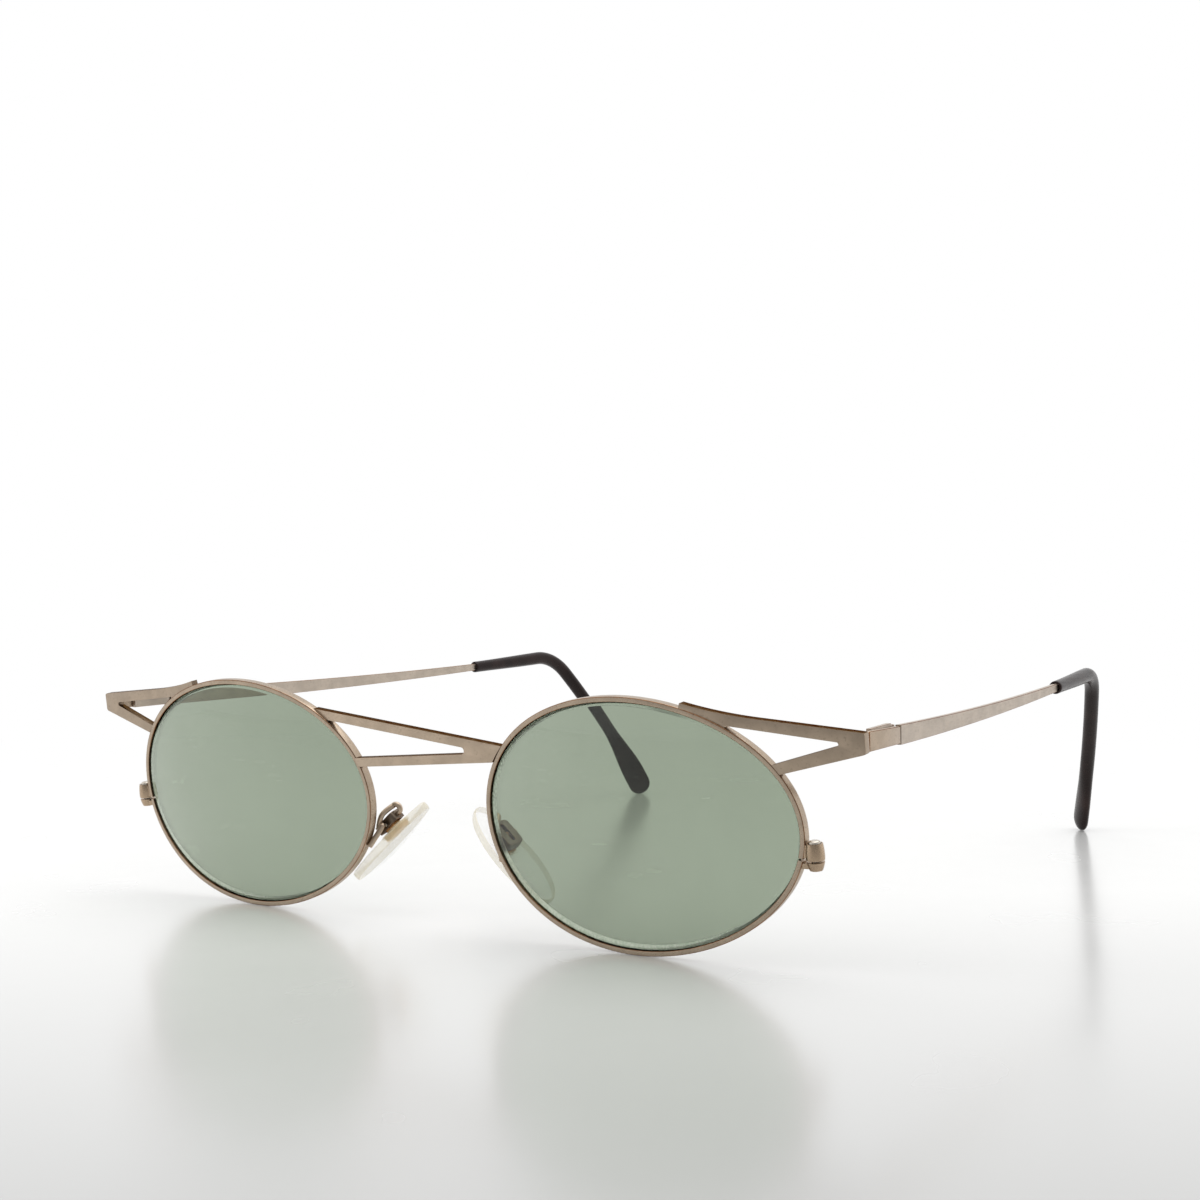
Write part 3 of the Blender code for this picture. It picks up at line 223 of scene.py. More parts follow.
ARM_BOX_GAP = 0.0002
ARM_LEAD = 0.0003
ARM_PASS_DOWN = 0.0007
ARM_PASS_OUT = 0.0004
ARM_CORNER_UP = 0.0010

# The step by which an outline's direction is measured
ANGLE_STEP = 0.0001

# How finely round forms are cut
RIM_STEPS = 240
TURN_STEPS = 48
PAD_STEPS = 96
TIP_SIDES = 40
ARM_SIDES = 24
CORE_SIDES = 20
TONGUE_STEPS = 24
SLOT_END_STEPS = 16
CURL_STEPS = 16
PATH_STEPS = 12
CORNER_STEPS = 8
FINE_CORNER_STEPS = 4
EDGE_SEGMENTS = 3
LENS_RINGS = 12
LENS_EDGE_SHARES = (0.985, 0.997)
BARREL_RINGS = 16
STRIP_RINGS = 40
BORE_RINGS = 60
SLEEVE_RINGS = 90
CROWN_RINGS = 20
DROP_TRIES = 4

# Steps, in degrees, in which round ends are cut
SCREW_DOME_STEP = 15
COLLAR_STEP = 30
SLEEVE_END_STEP = 9
PAD_ROUND_STEP = 15

# Points nearer than this are one point, in any piece and in a turned screw
SAME_POINT = 1e-7
SAME_TURNED_POINT = 1e-6

# Finishes by how far a face's direction lies along an axis: faces square to it, rounded corners
# between two shares, and the lens's ground edge, which starts at a share of the lens's radius
FACING = 0.8
PLATE_FACING = 0.75
RIM_CORNERS = (0.45, 0.85)
STRIP_CORNERS = (0.3, 0.9)
GROUND_SLOPES = (-0.5, 0.93)
GROUND_FROM = 0.9

# Edges sharper than this are rounded, with another limit for the plates, and shaded as edges
EDGE_ANGLE = 50
PLATE_EDGE_ANGLE = 40
SHADED_EDGE_ANGLE = 35

# The camera that took the photograph, with its turns in the order in which they apply
CAMERA_PLACE = (0.18177, -0.278011, 0.05893)
CAMERA_TURNS = (
    (0.6096097553790853, "Z"),
    (-0.043392865225219505, "X"),
    (0.019998261786039518, "Y"),
    (math.pi / 2, "X"),
)
CAMERA_LENS = 59.39
CAMERA_SENSOR = 36.0
CAMERA_NEAR = 0.01

# The lamps: name, place, width, height, power and whether gloss mirrors them
LAMPS = (
    ("softbox_above", (0.1, 0.1, 0.9), 0.9, 0.9, 4.0, True),
    ("softbox_left", (-0.7, -0.5, 0.5), 0.5, 0.7, 2.0, False),
)

# The world's light, and how much its mirror image dims towards the viewer's side
WORLD_LIGHT = 0.75
WORLD_DIMMING = 0.62
VIEWER_SIDE = (0.549, -0.836, 0.0)

# The table top: its fine middle, its edge and how far it lies under what stands on it
TABLE_RADII = (0.2, 4.0)
TABLE_SIDES = 96
TABLE_DROP = 0.00002

# How far a fine piece may stray from the box of the solid that it stands for
BOX_TOLERANCE = 0.0004


def length(name, description, default):
    return bpy.props.FloatProperty(
        name=name, description=description, default=default, unit="LENGTH", precision=5, min=0.0)


def colour(name, description, default):
    return bpy.props.FloatVectorProperty(
        name=name, description=description, default=default,
        unit="NONE", subtype="COLOR", size=3, min=0.0, max=1.0)


class SunglassesSizes(bpy.types.PropertyGroup):
    """Main sizes of the sunglasses."""

    lens_width: length("Lens Width", "Visible width of a lens", 0.0480)
    lens_height: length("Lens Height", "Visible height of a lens", 0.0337)
    lens_thickness: length("Lens Thickness", "Thickness of a lens", 0.0018)
    rim_spacing: length("Rim Spacing", "Distance between the rims", 0.0219)
    rim_wall: length("Rim Wall", "Width of a rim seen from the front", 0.00075)
    rim_depth: length("Rim Depth", "Depth of a rim from front to back", 0.0014)
    rim_corner: length("Rim Corner", "Rounding of a rim's corners", 0.00016)
    bridge_bar: length("Bridge Bar", "Width of each bar of the bridge", 0.00133)
    bridge_plate: length("Bridge Thickness", "Thickness of the bridge's plate", 0.0012)
    endpiece_plate: length("Endpiece Thickness", "Thickness of an endpiece's plate", 0.00115)
    edge_round: length("Edge Rounding", "Rounding of the plates' edges", 0.00011)
    arm_radius: length("Pad Arm Radius", "Radius of the wires that carry the nose pads", 0.0004)
    pad_length: length("Pad Length", "Length of a nose pad", 0.0179)
    pad_width: length("Pad Width", "Width of a nose pad", 0.0070)
    temple_thickness: length("Temple Thickness", "Thickness of a temple's strip", 0.0008)
    screw_slot: length("Screw Slot", "Width of the slot in a screw's head", 0.00022)


class SunglassesColours(bpy.types.PropertyGroup):
    """Colours of the sunglasses."""

    bronze: colour("Bronze", "Satin plating of the frame", (0.47, 0.375, 0.285))
    barrel: colour("Closing Block", "Plating of the rims' closing blocks", (0.44, 0.33, 0.23))
    # The hinges also get this paler plating, as a painted highlight on their tops.
    temple: colour("Temple", "Paler plating of the temples and hinges", (0.51, 0.438, 0.367))
    steel: colour("Steel", "Bright steel of the screws", (0.62, 0.57, 0.50))
    edge: colour("Rubbed Edge", "Warm line where the plating is rubbed", (0.24, 0.125, 0.065))
    # Painted shade: the plates' and rims' walls get this dark colour where they turn away from the
    # front.
    wall: colour("Polished Wall", "Dark polished walls of the plates", (0.18, 0.135, 0.098))
    lens: colour("Lens Tint", "Grey-green tint of the lenses", (0.31, 0.365, 0.28))
    tip: colour("Temple Tip", "Dark acetate of the temple tips", (0.015, 0.008, 0.007))
    amber: colour("Pad Core", "Amber core of the nose pads", (0.72, 0.38, 0.14))
    silicone: colour("Nose Pad", "Clear silicone of the nose pads", (0.98, 0.98, 0.95))
    pad_rim: colour("Pad Edge", "Milky edge of the nose pads", (0.82, 0.73, 0.50))
    table: colour("Table", "Pale glossy table top", (0.84, 0.84, 0.83))


def sizes():
    return bpy.context.scene.sunglasses_sizes


def colours():
    return bpy.context.scene.sunglasses_colours


# Node trees


class Wire:
    """A socket of a node tree that can be used in sums."""

    def __init__(self, tree, socket):
        self.tree = tree
        self.socket = socket

    def math(self, operation, first, second):
        return self.tree.node("ShaderNodeMath", {0: first, 1: second}, operation=operation)

    def __add__(self, other):
        return self.math("ADD", self, other)

    def __rsub__(self, other):
        return self.math("SUBTRACT", other, self)

    def __mul__(self, other):
        return self.math("MULTIPLY", self, other)

    __radd__ = __add__
    __rmul__ = __mul__


class Tree:
    """A node tree that is written one node at a time."""

    def __init__(self, nodes):
        self.nodes = nodes

    def node(self, kind, inputs=None, output=0, **settings):
        """Adds a node with its settings, feeds its sockets and gives back one of its outputs."""
        made = self.nodes.nodes.new(kind)
        for key, value in settings.items():
            setattr(made, key, value)
        self.feed(made, inputs or {})
        return Wire(self, made.outputs[output])

    def feed(self, made, inputs):
        for key, value in inputs.items():
            if isinstance(value, Wire):
                self.nodes.links.new(value.socket, made.inputs[key])
            else:
                made.inputs[key].default_value = value

    def span(self, value, low, high, to_low=0.0, to_high=1.0, kind="LINEAR"):
        """Maps the values from low to high onto those from to_low to to_high."""
        ends = {0: value, 1: low, 2: high, 3: to_low, 4: to_high}
        return self.node("ShaderNodeMapRange", ends, interpolation_type=kind)

    def forward(self, spot):
        """How far a spot or a direction lies towards the viewer's side."""
        given = {0: spot, 1: VIEWER_SIDE}
        return self.node("ShaderNodeVectorMath", given, 1, operation="DOT_PRODUCT")

    def rays(self, kind):
        """1 for rays of a kind and 0 for others."""
        return self.node("ShaderNodeLightPath", output=f"Is {kind} Ray")


class Finish(Tree):
    """A material and the nodes that drive it."""

    def __init__(self, name):
        self.material = bpy.data.materials.new(name)
        self.material.use_nodes = True
        super().__init__(self.material.node_tree)
        self.surface = self.nodes.nodes["Principled BSDF"]

    def shader(self, **inputs):
        """Feeds the surface's own shader. Names have underscores for spaces."""
        self.feed(self.surface, {key.replace("_", " "): value for key, value in inputs.items()})
        return self.material

    def place(self, scale=(1, 1, 1)):
        spot = self.node("ShaderNodeTexCoord", output="Object")
        return self.node("ShaderNodeMapping", {"Vector": spot, "Scale": scale})

    def noise(self, scale, detail=2.0, stretch=(1, 1, 1)):
        """Noise with so many waves in a metre."""
        inputs = {"Vector": self.place(stretch), "Scale": scale, "Detail": detail}
        return self.node("ShaderNodeTexNoise", inputs)

    def blend(self, factor, first, second):
        """A mix of two colours: sockets 6 and 7 of the node, with the result in output 2."""
        return self.node("ShaderNodeMix", {0: factor, 6: first, 7: second}, 2, data_type="RGBA")

    def tones(self, factor, tint, low, high):
        """A tint between its low and its high multiple."""
        return self.blend(factor, shade(tint, low), shade(tint, high))

    def bump(self, height, strength, distance):
        inputs = {"Height": height, "Strength": strength, "Distance": distance}
        return self.node("ShaderNodeBump", inputs)


class Shape(Tree):
    """A Geometry Nodes tree with named inputs."""

    def __init__(self, name, **inputs):
        group = bpy.data.node_groups.new(name, "GeometryNodeTree")
        super().__init__(group)
        group.interface.new_socket("Geometry", in_out="INPUT", socket_type="NodeSocketGeometry")
        for label, kind in inputs.items():
            group.interface.new_socket(label, in_out="INPUT", socket_type="NodeSocket" + kind)
        group.interface.new_socket("Geometry", in_out="OUTPUT", socket_type="NodeSocketGeometry")
        self.entry = group.nodes.new("NodeGroupInput")

    def given(self, label):
        return Wire(self, self.entry.outputs[label])

    def close(self, geometry):
        """Ends the tree: instances are made real and get the material."""
        real = self.node("GeometryNodeRealizeInstances", {0: geometry})
        coated = self.node("GeometryNodeSetMaterial", {0: real, "Material": self.given("Material")})
        self.feed(self.nodes.nodes.new("NodeGroupOutput"), {"Geometry": coated})
        return self

    def grow(self, seed, **values):
        """Runs the tree on an object and leaves the result on it as a plain mesh."""
        modifier = seed.modifiers.new(self.nodes.name, "NODES")
        modifier.node_group = self.nodes
        for item in self.nodes.interface.items_tree:
            if item.in_out == "INPUT" and item.name in values:
                modifier[item.identifier] = values[item.name]
        return cleaned(settled(seed))


def shade(tint, factor):
    return tuple(min(1.0, part * factor) for part in tint[:3]) + (1.0,)


# Finishes


def satin_metal(name, tint, roughness, stretch=(1, 1, 1)):
    """Plated metal with a fine satin grain, faint clouding and small dark specks."""
    finish = Finish(name)
    grain = finish.noise(5200.0, 3.0, stretch)
    cloud = finish.span(finish.noise(380.0, 3.0), 0.35, 0.65)
    speck = finish.span(finish.noise(2600.0, 1.0), 0.62, 0.72)
    base = finish.tones(cloud, tint, 0.92, 1.07)
    return finish.shader(
        Base_Color=finish.blend(speck, base, shade(tint, 0.87)),
        Metallic=1.0,
        Roughness=finish.span(grain, 0.3, 0.7, roughness - 0.07, roughness + 0.08),
        Normal=finish.bump(grain, 0.45, 0.000012),
    )


def rubbed_edge(name, tint):
    """The dark warm line where the plating is rubbed along an edge."""
    finish = Finish(name)
    wear = finish.span(finish.noise(1500.0, 2.0), 0.35, 0.7)
    return finish.shader(
        Base_Color=finish.tones(wear, tint, 0.8, 1.3),
        Metallic=1.0,
        Specular_Tint=shade(tint, 1.5),
        Roughness=0.24 + 0.12 * wear,
    )


def polished_wall(name, tint):
    """A polished wall painted dark as painted shade, its grazing gloss tinted dark too, with fine
    file marks along it.
    """
    finish = Finish(name)
    marks = finish.noise(3800.0, 2.0, (0.25, 1.0, 0.25))
    return finish.shader(
        Base_Color=finish.tones(finish.span(marks, 0.3, 0.7), tint, 0.75, 1.25),
        Metallic=1.0,
        Specular_Tint=shade(tint, 1.6),
        Roughness=finish.span(marks, 0.3, 0.7, 0.2, 0.32),
        Normal=finish.bump(marks, 0.3, 0.00001),
    )


def tinted_glass(name, tint):
    """Tinted lens glass with the faintest wiping marks."""
    finish = Finish(name)
    smear = finish.noise(160.0, 3.0, (1.0, 1.0, 0.3))
    return finish.shader(
        Base_Color=finish.tones(finish.span(smear, 0.3, 0.7), tint, 0.985, 1.015),
        Roughness=finish.span(smear, 0.45, 0.8, 0.0, 0.01),
        IOR=1.5,
        Transmission_Weight=1.0,
    )


def ground_glass(name, tint):
    """The lens's cut edge: frosted, with fine ribs across it, painted brighter low down and darker
    higher up as painted light and shade.
    """
    finish = Finish(name)
    ribs = finish.noise(6000.0, 2.0, (1.0, 0.3, 0.4))
    height = finish.node("ShaderNodeSeparateXYZ", {0: finish.place()}, output="Z")
    # Painted light and shade: the edge's colour brightens from its top towards its low end.
    low = finish.span(height, 0.016, 0.008)
    return finish.shader(
        Base_Color=finish.blend(
            finish.span(ribs, 0.4, 0.6),
            finish.tones(low, tint, 0.5, 1.7),
            finish.tones(low, tint, 1.7, 3.2),
        ),
        Roughness=0.3,
        IOR=1.5,
        Transmission_Weight=0.9,
        Normal=finish.bump(ribs, 0.4, 0.00003),
    )


def clear_silicone(name, tint, body):
    """Soft silicone that lets what lies behind it through, with a faint milky haze."""
    finish = Finish(name)
    haze = finish.span(finish.noise(420.0, 3.0), 0.3, 0.7)
    return finish.shader(
        Base_Color=finish.tones(haze, tint, 0.96, 1.0),
        Roughness=0.2 + 0.12 * haze,
        IOR=1.4,
        Alpha=body + 0.07 * haze,
        Normal=finish.bump(finish.noise(1800.0, 2.0), 0.12, 0.00001),
    )


def amber_plastic(name, tint):
    """Cloudy amber plastic."""
    finish = Finish(name)
    cloud = finish.noise(1300.0, 3.0)
    return finish.shader(
        Base_Color=finish.tones(finish.span(cloud, 0.3, 0.7), tint, 0.8, 1.15),
        Roughness=0.22,
        IOR=1.45,
        Transmission_Weight=0.15,
        Normal=finish.bump(cloud, 0.2, 0.00002),
    )


def dark_acetate(name, tint):
    """Polished acetate: nearly black, with a faint brown cloud and hairline scuffs."""
    finish = Finish(name)
    cloud = finish.span(finish.noise(260.0, 4.0), 0.4, 0.7)
    scuff = finish.noise(2600.0, 2.0, (1.0, 0.08, 1.0))
    return finish.shader(
        Base_Color=finish.tones(cloud, tint, 0.85, 1.7),
        Roughness=finish.span(scuff, 0.45, 0.75, 0.22, 0.34),
        Specular_IOR_Level=0.2,
        Normal=finish.bump(finish.noise(500.0, 2.0), 0.08, 0.00003),
    )


def turned_steel(name, tint):
    """Bright turned steel with fine tool marks."""
    finish = Finish(name)
    marks = finish.noise(9000.0, 2.0, (1.0, 1.0, 0.3))
    return finish.shader(
        Base_Color=finish.tones(marks, tint, 0.85, 1.2),
        Metallic=1.0,
        Roughness=finish.span(marks, 0.3, 0.7, 0.2, 0.34),
        Normal=finish.bump(marks, 0.25, 0.000005),
    )


def finish_named(name):
    """A finish by its name, made the first time that it is asked for."""
    made = bpy.data.materials.get(name)
    if made is not None:
        return made
    palette = colours()
    recipes = {
        "bronze_plate": (satin_metal, shade(palette.bronze, 1.08), 0.36),
        "bronze_endpiece": (satin_metal, shade(palette.bronze, 0.88), 0.36),
        "bronze_block": (satin_metal, palette.bronze, 0.38),
        "bronze_rim": (satin_metal, shade(palette.bronze, 0.95), 0.30),
        # Painted shade: the rim's inner wall, a third as bright as the other walls.
        "bronze_inside": (polished_wall, shade(palette.wall, 0.32)),
        # Painted shade: the frame's bronze at a third of its brightness, for the pad boxes.
        "bronze_dark": (satin_metal, shade(palette.bronze, 0.34), 0.38),
        "bronze_barrel": (satin_metal, palette.barrel, 0.24),
        "bronze_temple": (satin_metal, palette.temple, 0.42, (1.0, 0.12, 1.0)),
        "rubbed_edge": (rubbed_edge, palette.edge),
        "polished_wall": (polished_wall, palette.wall),
        "lens_glass": (tinted_glass, palette.lens),
        "lens_edge": (ground_glass, palette.lens),
        "pad_silicone": (clear_silicone, palette.silicone, 0.09),
        "pad_rim": (clear_silicone, palette.pad_rim, 0.36),
        "pad_amber": (amber_plastic, palette.amber),
        "tip_acetate": (dark_acetate, palette.tip),
        "turned_steel": (turned_steel, palette.steel),
    }
    maker, *settings = recipes[name]
    return maker(name, *settings)


# Outlines and curves


def rim_half_width():
    return sizes().lens_width / 2 + sizes().rim_wall


def rim_half_height():
    return sizes().lens_height / 2 + sizes().rim_wall


def eye_x():
    return sizes().rim_spacing / 2 + rim_half_width()


def outline_point(curve, angle, offset=0.0):
    """The point of a closed curve at an angle, moved out square to the curve by offset."""
    along = curve(angle + ANGLE_STEP) - curve(angle - ANGLE_STEP)
    outward = Vector((along.y, -along.x)).normalized()
    return curve(angle) + outward * offset


def rim_curve(angle):
    """The rim's outer edge: an ellipse, taller on the nose side. Angle 0 is the temple side."""
    height = rim_half_height() * (1 - NASAL_FULLNESS * math.cos(angle))
    return Vector((rim_half_width() * math.cos(angle), height * math.sin(angle)))


def pad_curve(angle):
    """The pad's outline: an egg, fuller at its lower end, which is at angle 0."""
    width = sizes().pad_width * (1 + PAD_FULLNESS * math.cos(angle))
    return Vector((sizes().pad_length / 2 * math.cos(angle), width / 2 * math.sin(angle)))


def rim_point(angle, offset=0.0):
    return outline_point(rim_curve, angle, offset)


def angle_at_height(height, nasal):
    """Where the rim's outer edge passes a height over the lens centre."""
    angle = math.asin(height / rim_half_height())
    return math.pi - angle if nasal else angle


def face_depth(point):
    """How far the curved face lies behind its middle at a point of the outline."""
    return LENS_CURVE - math.sqrt(LENS_CURVE**2 - point.length_squared)


def between(start, end, count):
    """Evenly spread values from start to end, both included."""
    return [start + (end - start) * i / count for i in range(count + 1)]


def even_angles(count):
    return [2 * math.pi * i / count for i in range(count)]


def arc(centre, radius, start, end, steps):
    """Points on an arc, both ends included."""
    angles = between(start, end, steps)
    return [centre + Vector((math.cos(a), math.sin(a))) * radius for a in angles]


def quadratic(start, control, end, steps):
    """Points on a curve that leaves start and reaches end along the lines to control."""
    shares = between(0, 1, steps)
    return [start * (1 - t) ** 2 + control * (2 * t * (1 - t)) + end * t**2 for t in shares]


def meeting(first, first_slope, second, second_slope):
    """Where two lines cross, each given by a point and a slope."""
    rise = second.y - first.y + first_slope * first.x - second_slope * second.x
    across = rise / (first_slope - second_slope)
    return Vector((across, first.y + first_slope * (across - first.x)))


def wedge(open_x, upper, upper_slope, lower, lower_slope, radius):
    """A wedge-shaped slot, open at open_x, that narrows towards +X to a round end."""
    up = Vector((-upper_slope, 1)).normalized()
    down = Vector((lower_slope, -1)).normalized()
    centre = meeting(upper - up * radius, upper_slope, lower - down * radius, lower_slope)
    first, last = math.atan2(up.y, up.x), math.atan2(down.y, down.x)
    top = Vector((open_x, upper.y + upper_slope * (open_x - upper.x)))
    bottom = Vector((open_x, lower.y + lower_slope * (open_x - lower.x)))
    return [top] + arc(centre, radius, first, last, SLOT_END_STEPS) + [bottom]


def rounded(corner, before, after, radius):
    """A corner of an outline rounded to a radius, between the points before and after it."""
    back = (before - corner).normalized()
    on = (after - corner).normalized()
    reach = radius / math.tan(back.angle(on) / 2)
    return quadratic(corner + back * reach, corner, corner + on * reach, CORNER_STEPS)


def rounded_rectangle(length, width, radius, steps=CORNER_STEPS):
    """The outline of a rectangle with round corners, about its middle."""
    points = []
    for quarter, (along, across) in enumerate(((1, 1), (-1, 1), (-1, -1), (1, -1))):
        centre = Vector((along * (length / 2 - radius), across * (width / 2 - radius)))
        start = quarter * math.pi / 2
        points += arc(centre, radius, start, start + math.pi / 2, steps)
    return points


def smooth_step(value):
    value = min(max(value, 0), 1)
    return value * value * (3 - 2 * value)


def smooth_path(points):
    """A smooth curve through points, as a list of points along it."""
    path = []
    for i in range(len(points) - 1):
        before, after = points[max(i - 1, 0)], points[min(i + 2, len(points) - 1)]
        start, end = points[i], points[i + 1]
        for t in between(0, 1, PATH_STEPS)[:-1]:
            bend = (end - before) * (t - 2 * t**2 + t**3) / 2 + (after - start) * (t**3 - t**2) / 2
            path.append(start * (1 - 3 * t**2 + 2 * t**3) + end * (3 * t**2 - 2 * t**3) + bend)
    return path + [points[-1]]


# Meshes and objects


def skin(rings):
    """A closed surface over rings of points, of which a ring of one point is a tip."""
    mesh = bmesh.new()
    rows = [[mesh.verts.new(point) for point in ring] for ring in rings]
    for here, there in zip(rows, rows[1:]):
        count = max(len(here), len(there))
        for i in range(count):
            j = (i + 1) % count
            near = (here[i % len(here)], here[j % len(here)])
            far = (there[j % len(there)], there[i % len(there)])
            mesh.faces.new(dict.fromkeys(near + far))
    for row in (rows[0], rows[-1]):
        if len(row) > 1:
            mesh.faces.new(row)
    bmesh.ops.recalc_face_normals(mesh, faces=mesh.faces)
    return mesh


def flat(across):
    """The depth at every X of a form that stands square."""
    return 0.0


def prism(outline, depth, near, far):
    """An outline in X and Z, filled from near to far behind the depth that depth(x) gives."""
    ends = (near, far)
    return skin([[Vector((p.x, depth(p.x) + end, p.y)) for p in outline] for end in ends])


def slab(outline, low, high):
    """An outline in X and Y, filled between two heights."""
    return skin([[Vector((p.x, p.y, height)) for p in outline] for height in (low, high)])


def box(low, high):
    corners = ((low[0], low[1]), (high[0], low[1]), (high[0], high[1]), (low[0], high[1]))
    return slab([Vector(corner) for corner in corners], low[2], high[2])


def turned(profile):
    """A profile of (radius, height) points turned about Z."""
    rings = []
    for radius, height in profile:
        count = TURN_STEPS if radius > 0 else 1
        spokes = [(math.cos(a), math.sin(a)) for a in even_angles(count)]
        rings.append([Vector((radius * x, radius * y, height)) for x, y in spokes])
    return skin(rings)


def rod(radius, low, high):
    return turned([(0, low), (radius, low), (radius, high), (0, high)])


def stepped_rod(radius, low, head_radius, seat, high):
    """The space that a screw and its sunk head take: a rod that widens at the height seat."""
    shank = [(0, low), (radius, low), (radius, seat)]
    return turned(shank + [(head_radius, seat), (head_radius, high), (0, high)])


def solid(name, mesh, place=None):
    """An object at the origin holding a mesh that was modelled in the frame of a place."""
    data = bpy.data.meshes.new(name)
    if place is not None:
        bmesh.ops.transform(mesh, matrix=place, verts=mesh.verts)
    mesh.to_mesh(data)
    mesh.free()
    made = bpy.data.objects.new(name, data)
    bpy.context.scene.collection.objects.link(made)
    return made


def thread(points):
    """A line of points joined by edges, which a tree sweeps or turns."""
    mesh = bmesh.new()
    spots = [mesh.verts.new(point) for point in points]
    for first, second in zip(spots, spots[1:]):
        mesh.edges.new((first, second))
    return mesh


def settled(obj):
    """Leaves the result of an object's modifiers on it as a plain mesh."""
    bpy.context.view_layer.update()
    graph = bpy.context.evaluated_depsgraph_get()
    result = bpy.data.meshes.new_from_object(obj.evaluated_get(graph))
    obj.modifiers.clear()
    obj.data = result
    return obj


def cleaned(obj):
    """Merges doubled points and turns every face outwards."""
    mesh = bmesh.new()
    mesh.from_mesh(obj.data)
    bmesh.ops.remove_doubles(mesh, verts=mesh.verts, dist=SAME_POINT)
    bmesh.ops.recalc_face_normals(mesh, faces=mesh.faces)
    mesh.to_mesh(obj.data)
    mesh.free()
    return obj


def apply_tools(body, operation, tools):
    """Joins tools to a body, or cuts them out of it, and removes them."""
    for tool in tools:
        modifier = body.modifiers.new(tool.name, "BOOLEAN")
        modifier.operation = operation
        modifier.object = tool
    settled(body)
    for tool in tools:
        bpy.data.objects.remove(tool)
    return body


def join(body, *tools):
    return apply_tools(body, "UNION", tools)


def cut(body, *tools):
    return apply_tools(body, "DIFFERENCE", tools)


def bevelled(body, width, angle=EDGE_ANGLE):
    """Rounds a body's sharp edges. The round faces get the second finish."""
    modifier = body.modifiers.new("round", "BEVEL")
    modifier.width = width
    modifier.segments = EDGE_SEGMENTS
    modifier.limit_method = "ANGLE"
    modifier.angle_limit = math.radians(angle)
    modifier.material = 1
    body.data.materials.clear()
    body.data.materials.append(finish_named("bronze_plate"))
    body.data.materials.append(finish_named("rubbed_edge"))
    return settled(body)


def mirrored(left, name):
    """The right-hand twin of a left-hand object."""
    mesh = bmesh.new()
    mesh.from_mesh(left.data)
    bmesh.ops.scale(mesh, vec=(-1, 1, 1), verts=mesh.verts)
    bmesh.ops.reverse_faces(mesh, faces=mesh.faces)
    twin = solid(name, mesh)
    for material in left.data.materials:
        twin.data.materials.append(material)
    return twin


def dressed(obj, place, finishes, rule=None):
    """Gives faces their finishes. A rule picks them by a face's direction and middle in a frame."""
    data = obj.data
    kept = [polygon.material_index for polygon in data.polygons]
    data.materials.clear()
    for name in finishes:
        data.materials.append(finish_named(name))
    inverse = place.inverted()
    turn = inverse.to_3x3()
    for polygon, index in zip(data.polygons, kept):
        if rule is not None:
            index = rule(turn @ polygon.normal, inverse @ polygon.center, index)
        polygon.material_index = min(index, len(finishes) - 1)
    return obj


def stand_in(piece, node, body):
    """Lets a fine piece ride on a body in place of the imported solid, once it fills the same box."""
    piece.data.shade_smooth()
    piece.data.set_sharp_from_angle(angle=math.radians(SHADED_EDGE_ANGLE))
    low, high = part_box(node)
    for axis in range(3):
        spots = [vertex.co[axis] for vertex in piece.data.vertices]
        near, far = min(spots) - low[axis], max(spots) - high[axis]
        if max(abs(near), abs(far)) > BOX_TOLERANCE:
            strays = f"{near * 1000:.2f}, {far * 1000:.2f} mm"
            raise RuntimeError(f"{piece.name} strays by {strays} on axis {axis}")
    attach(piece, body)
    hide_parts(node)


def pair(piece, node, body):
    """Names a left-hand piece, makes its right-hand twin and stands both in for their solids."""
    piece.name = "left_" + node + "_fine"
    twin = mirrored(piece, "right_" + node + "_fine")
    for side, made in (("left", piece), ("right", twin)):
        stand_in(made, side + "_" + node, body if body == "front" else side + "_" + body)


# Frames that pieces are shaped in


def moved(x, y, z):
    return Matrix.Translation((x, y, z))


def spun(angle, axis):
    return Matrix.Rotation(angle, 4, axis)


def eye_height():
    """The height of the lens centres that stands the leaning rims on the floor."""
    lowest = 0.0
    for angle in even_angles(RIM_STEPS):
        point = rim_point(angle)
        depth = face_depth(point) + point.x * math.sin(WRAP)
        lowest = min(lowest, point.y * math.cos(FRONT_TILT) + depth * math.sin(FRONT_TILT))
    return -lowest


def front_frame():
    """X across, Y back and Z up along the leaning front, from between the lens centres."""
    return moved(0, FRONT_AT, eye_height()) @ spun(FRONT_TILT, "X")


def eye_frame():
    """The left lens centre, turned by the wrap of the front."""
    return front_frame() @ moved(eye_x(), 0, 0) @ spun(WRAP, "Z")


def barrel_frame():
    """The rim screw's axis at the slit in the rim."""
    angle = angle_at_height(-SLIT_DROP, nasal=False)
    point = rim_point(angle)
    depth = face_depth(point) + sizes().rim_depth / 2
    return eye_frame() @ moved(point.x + BARREL_OFFSET, depth, point.y)


def endpiece_depth(across):
    """How far back the endpiece's front face lies: it sweeps back towards the temple."""
    start = eye_x() + rim_half_width() - ENDPIECE_SWEEP_INSET
    return ENDPIECE_FRONT + math.tan(ENDPIECE_SWEEP) * (across - start)


def endpiece_end():
    """The X of the endpiece's outer end."""
    return eye_x() + rim_half_width() + ENDPIECE_REACH


def temple_frame():
    """The start of the temple's centre line: Y runs back along the temple and X out of its side."""
    out = endpiece_end() - TEMPLE_INSET
    foot = ENDPIECE_TOP - ENDPIECE_HEIGHT
    back = endpiece_depth(out) + sizes().endpiece_plate
    lowest = front_frame() @ Vector((out, back, foot))
    middle = front_frame() @ Vector((out, back, foot + ENDPIECE_HEIGHT / 2))
    start = moved(out, lowest.y + BUTT_GAP, middle.z)
    return start @ spun(TEMPLE_TOE, "Z") @ moved(-sizes().temple_thickness / 2, 0, 0)


def hinge_frame():
    """The hinge's upright axis, at the middle of its height: Y runs back along the temple."""
    behind = BLOCK_LENGTH + BUTT_GAP / 2
    return temple_frame() @ moved(-hinge_inset(), behind, temple_sag(behind))


def hinge_inset():
    """How far the hinge's axis lies inside the temple's centre line."""
    return sizes().temple_thickness / 2 + HINGE_CLEARANCE + KNUCKLE_RADIUS


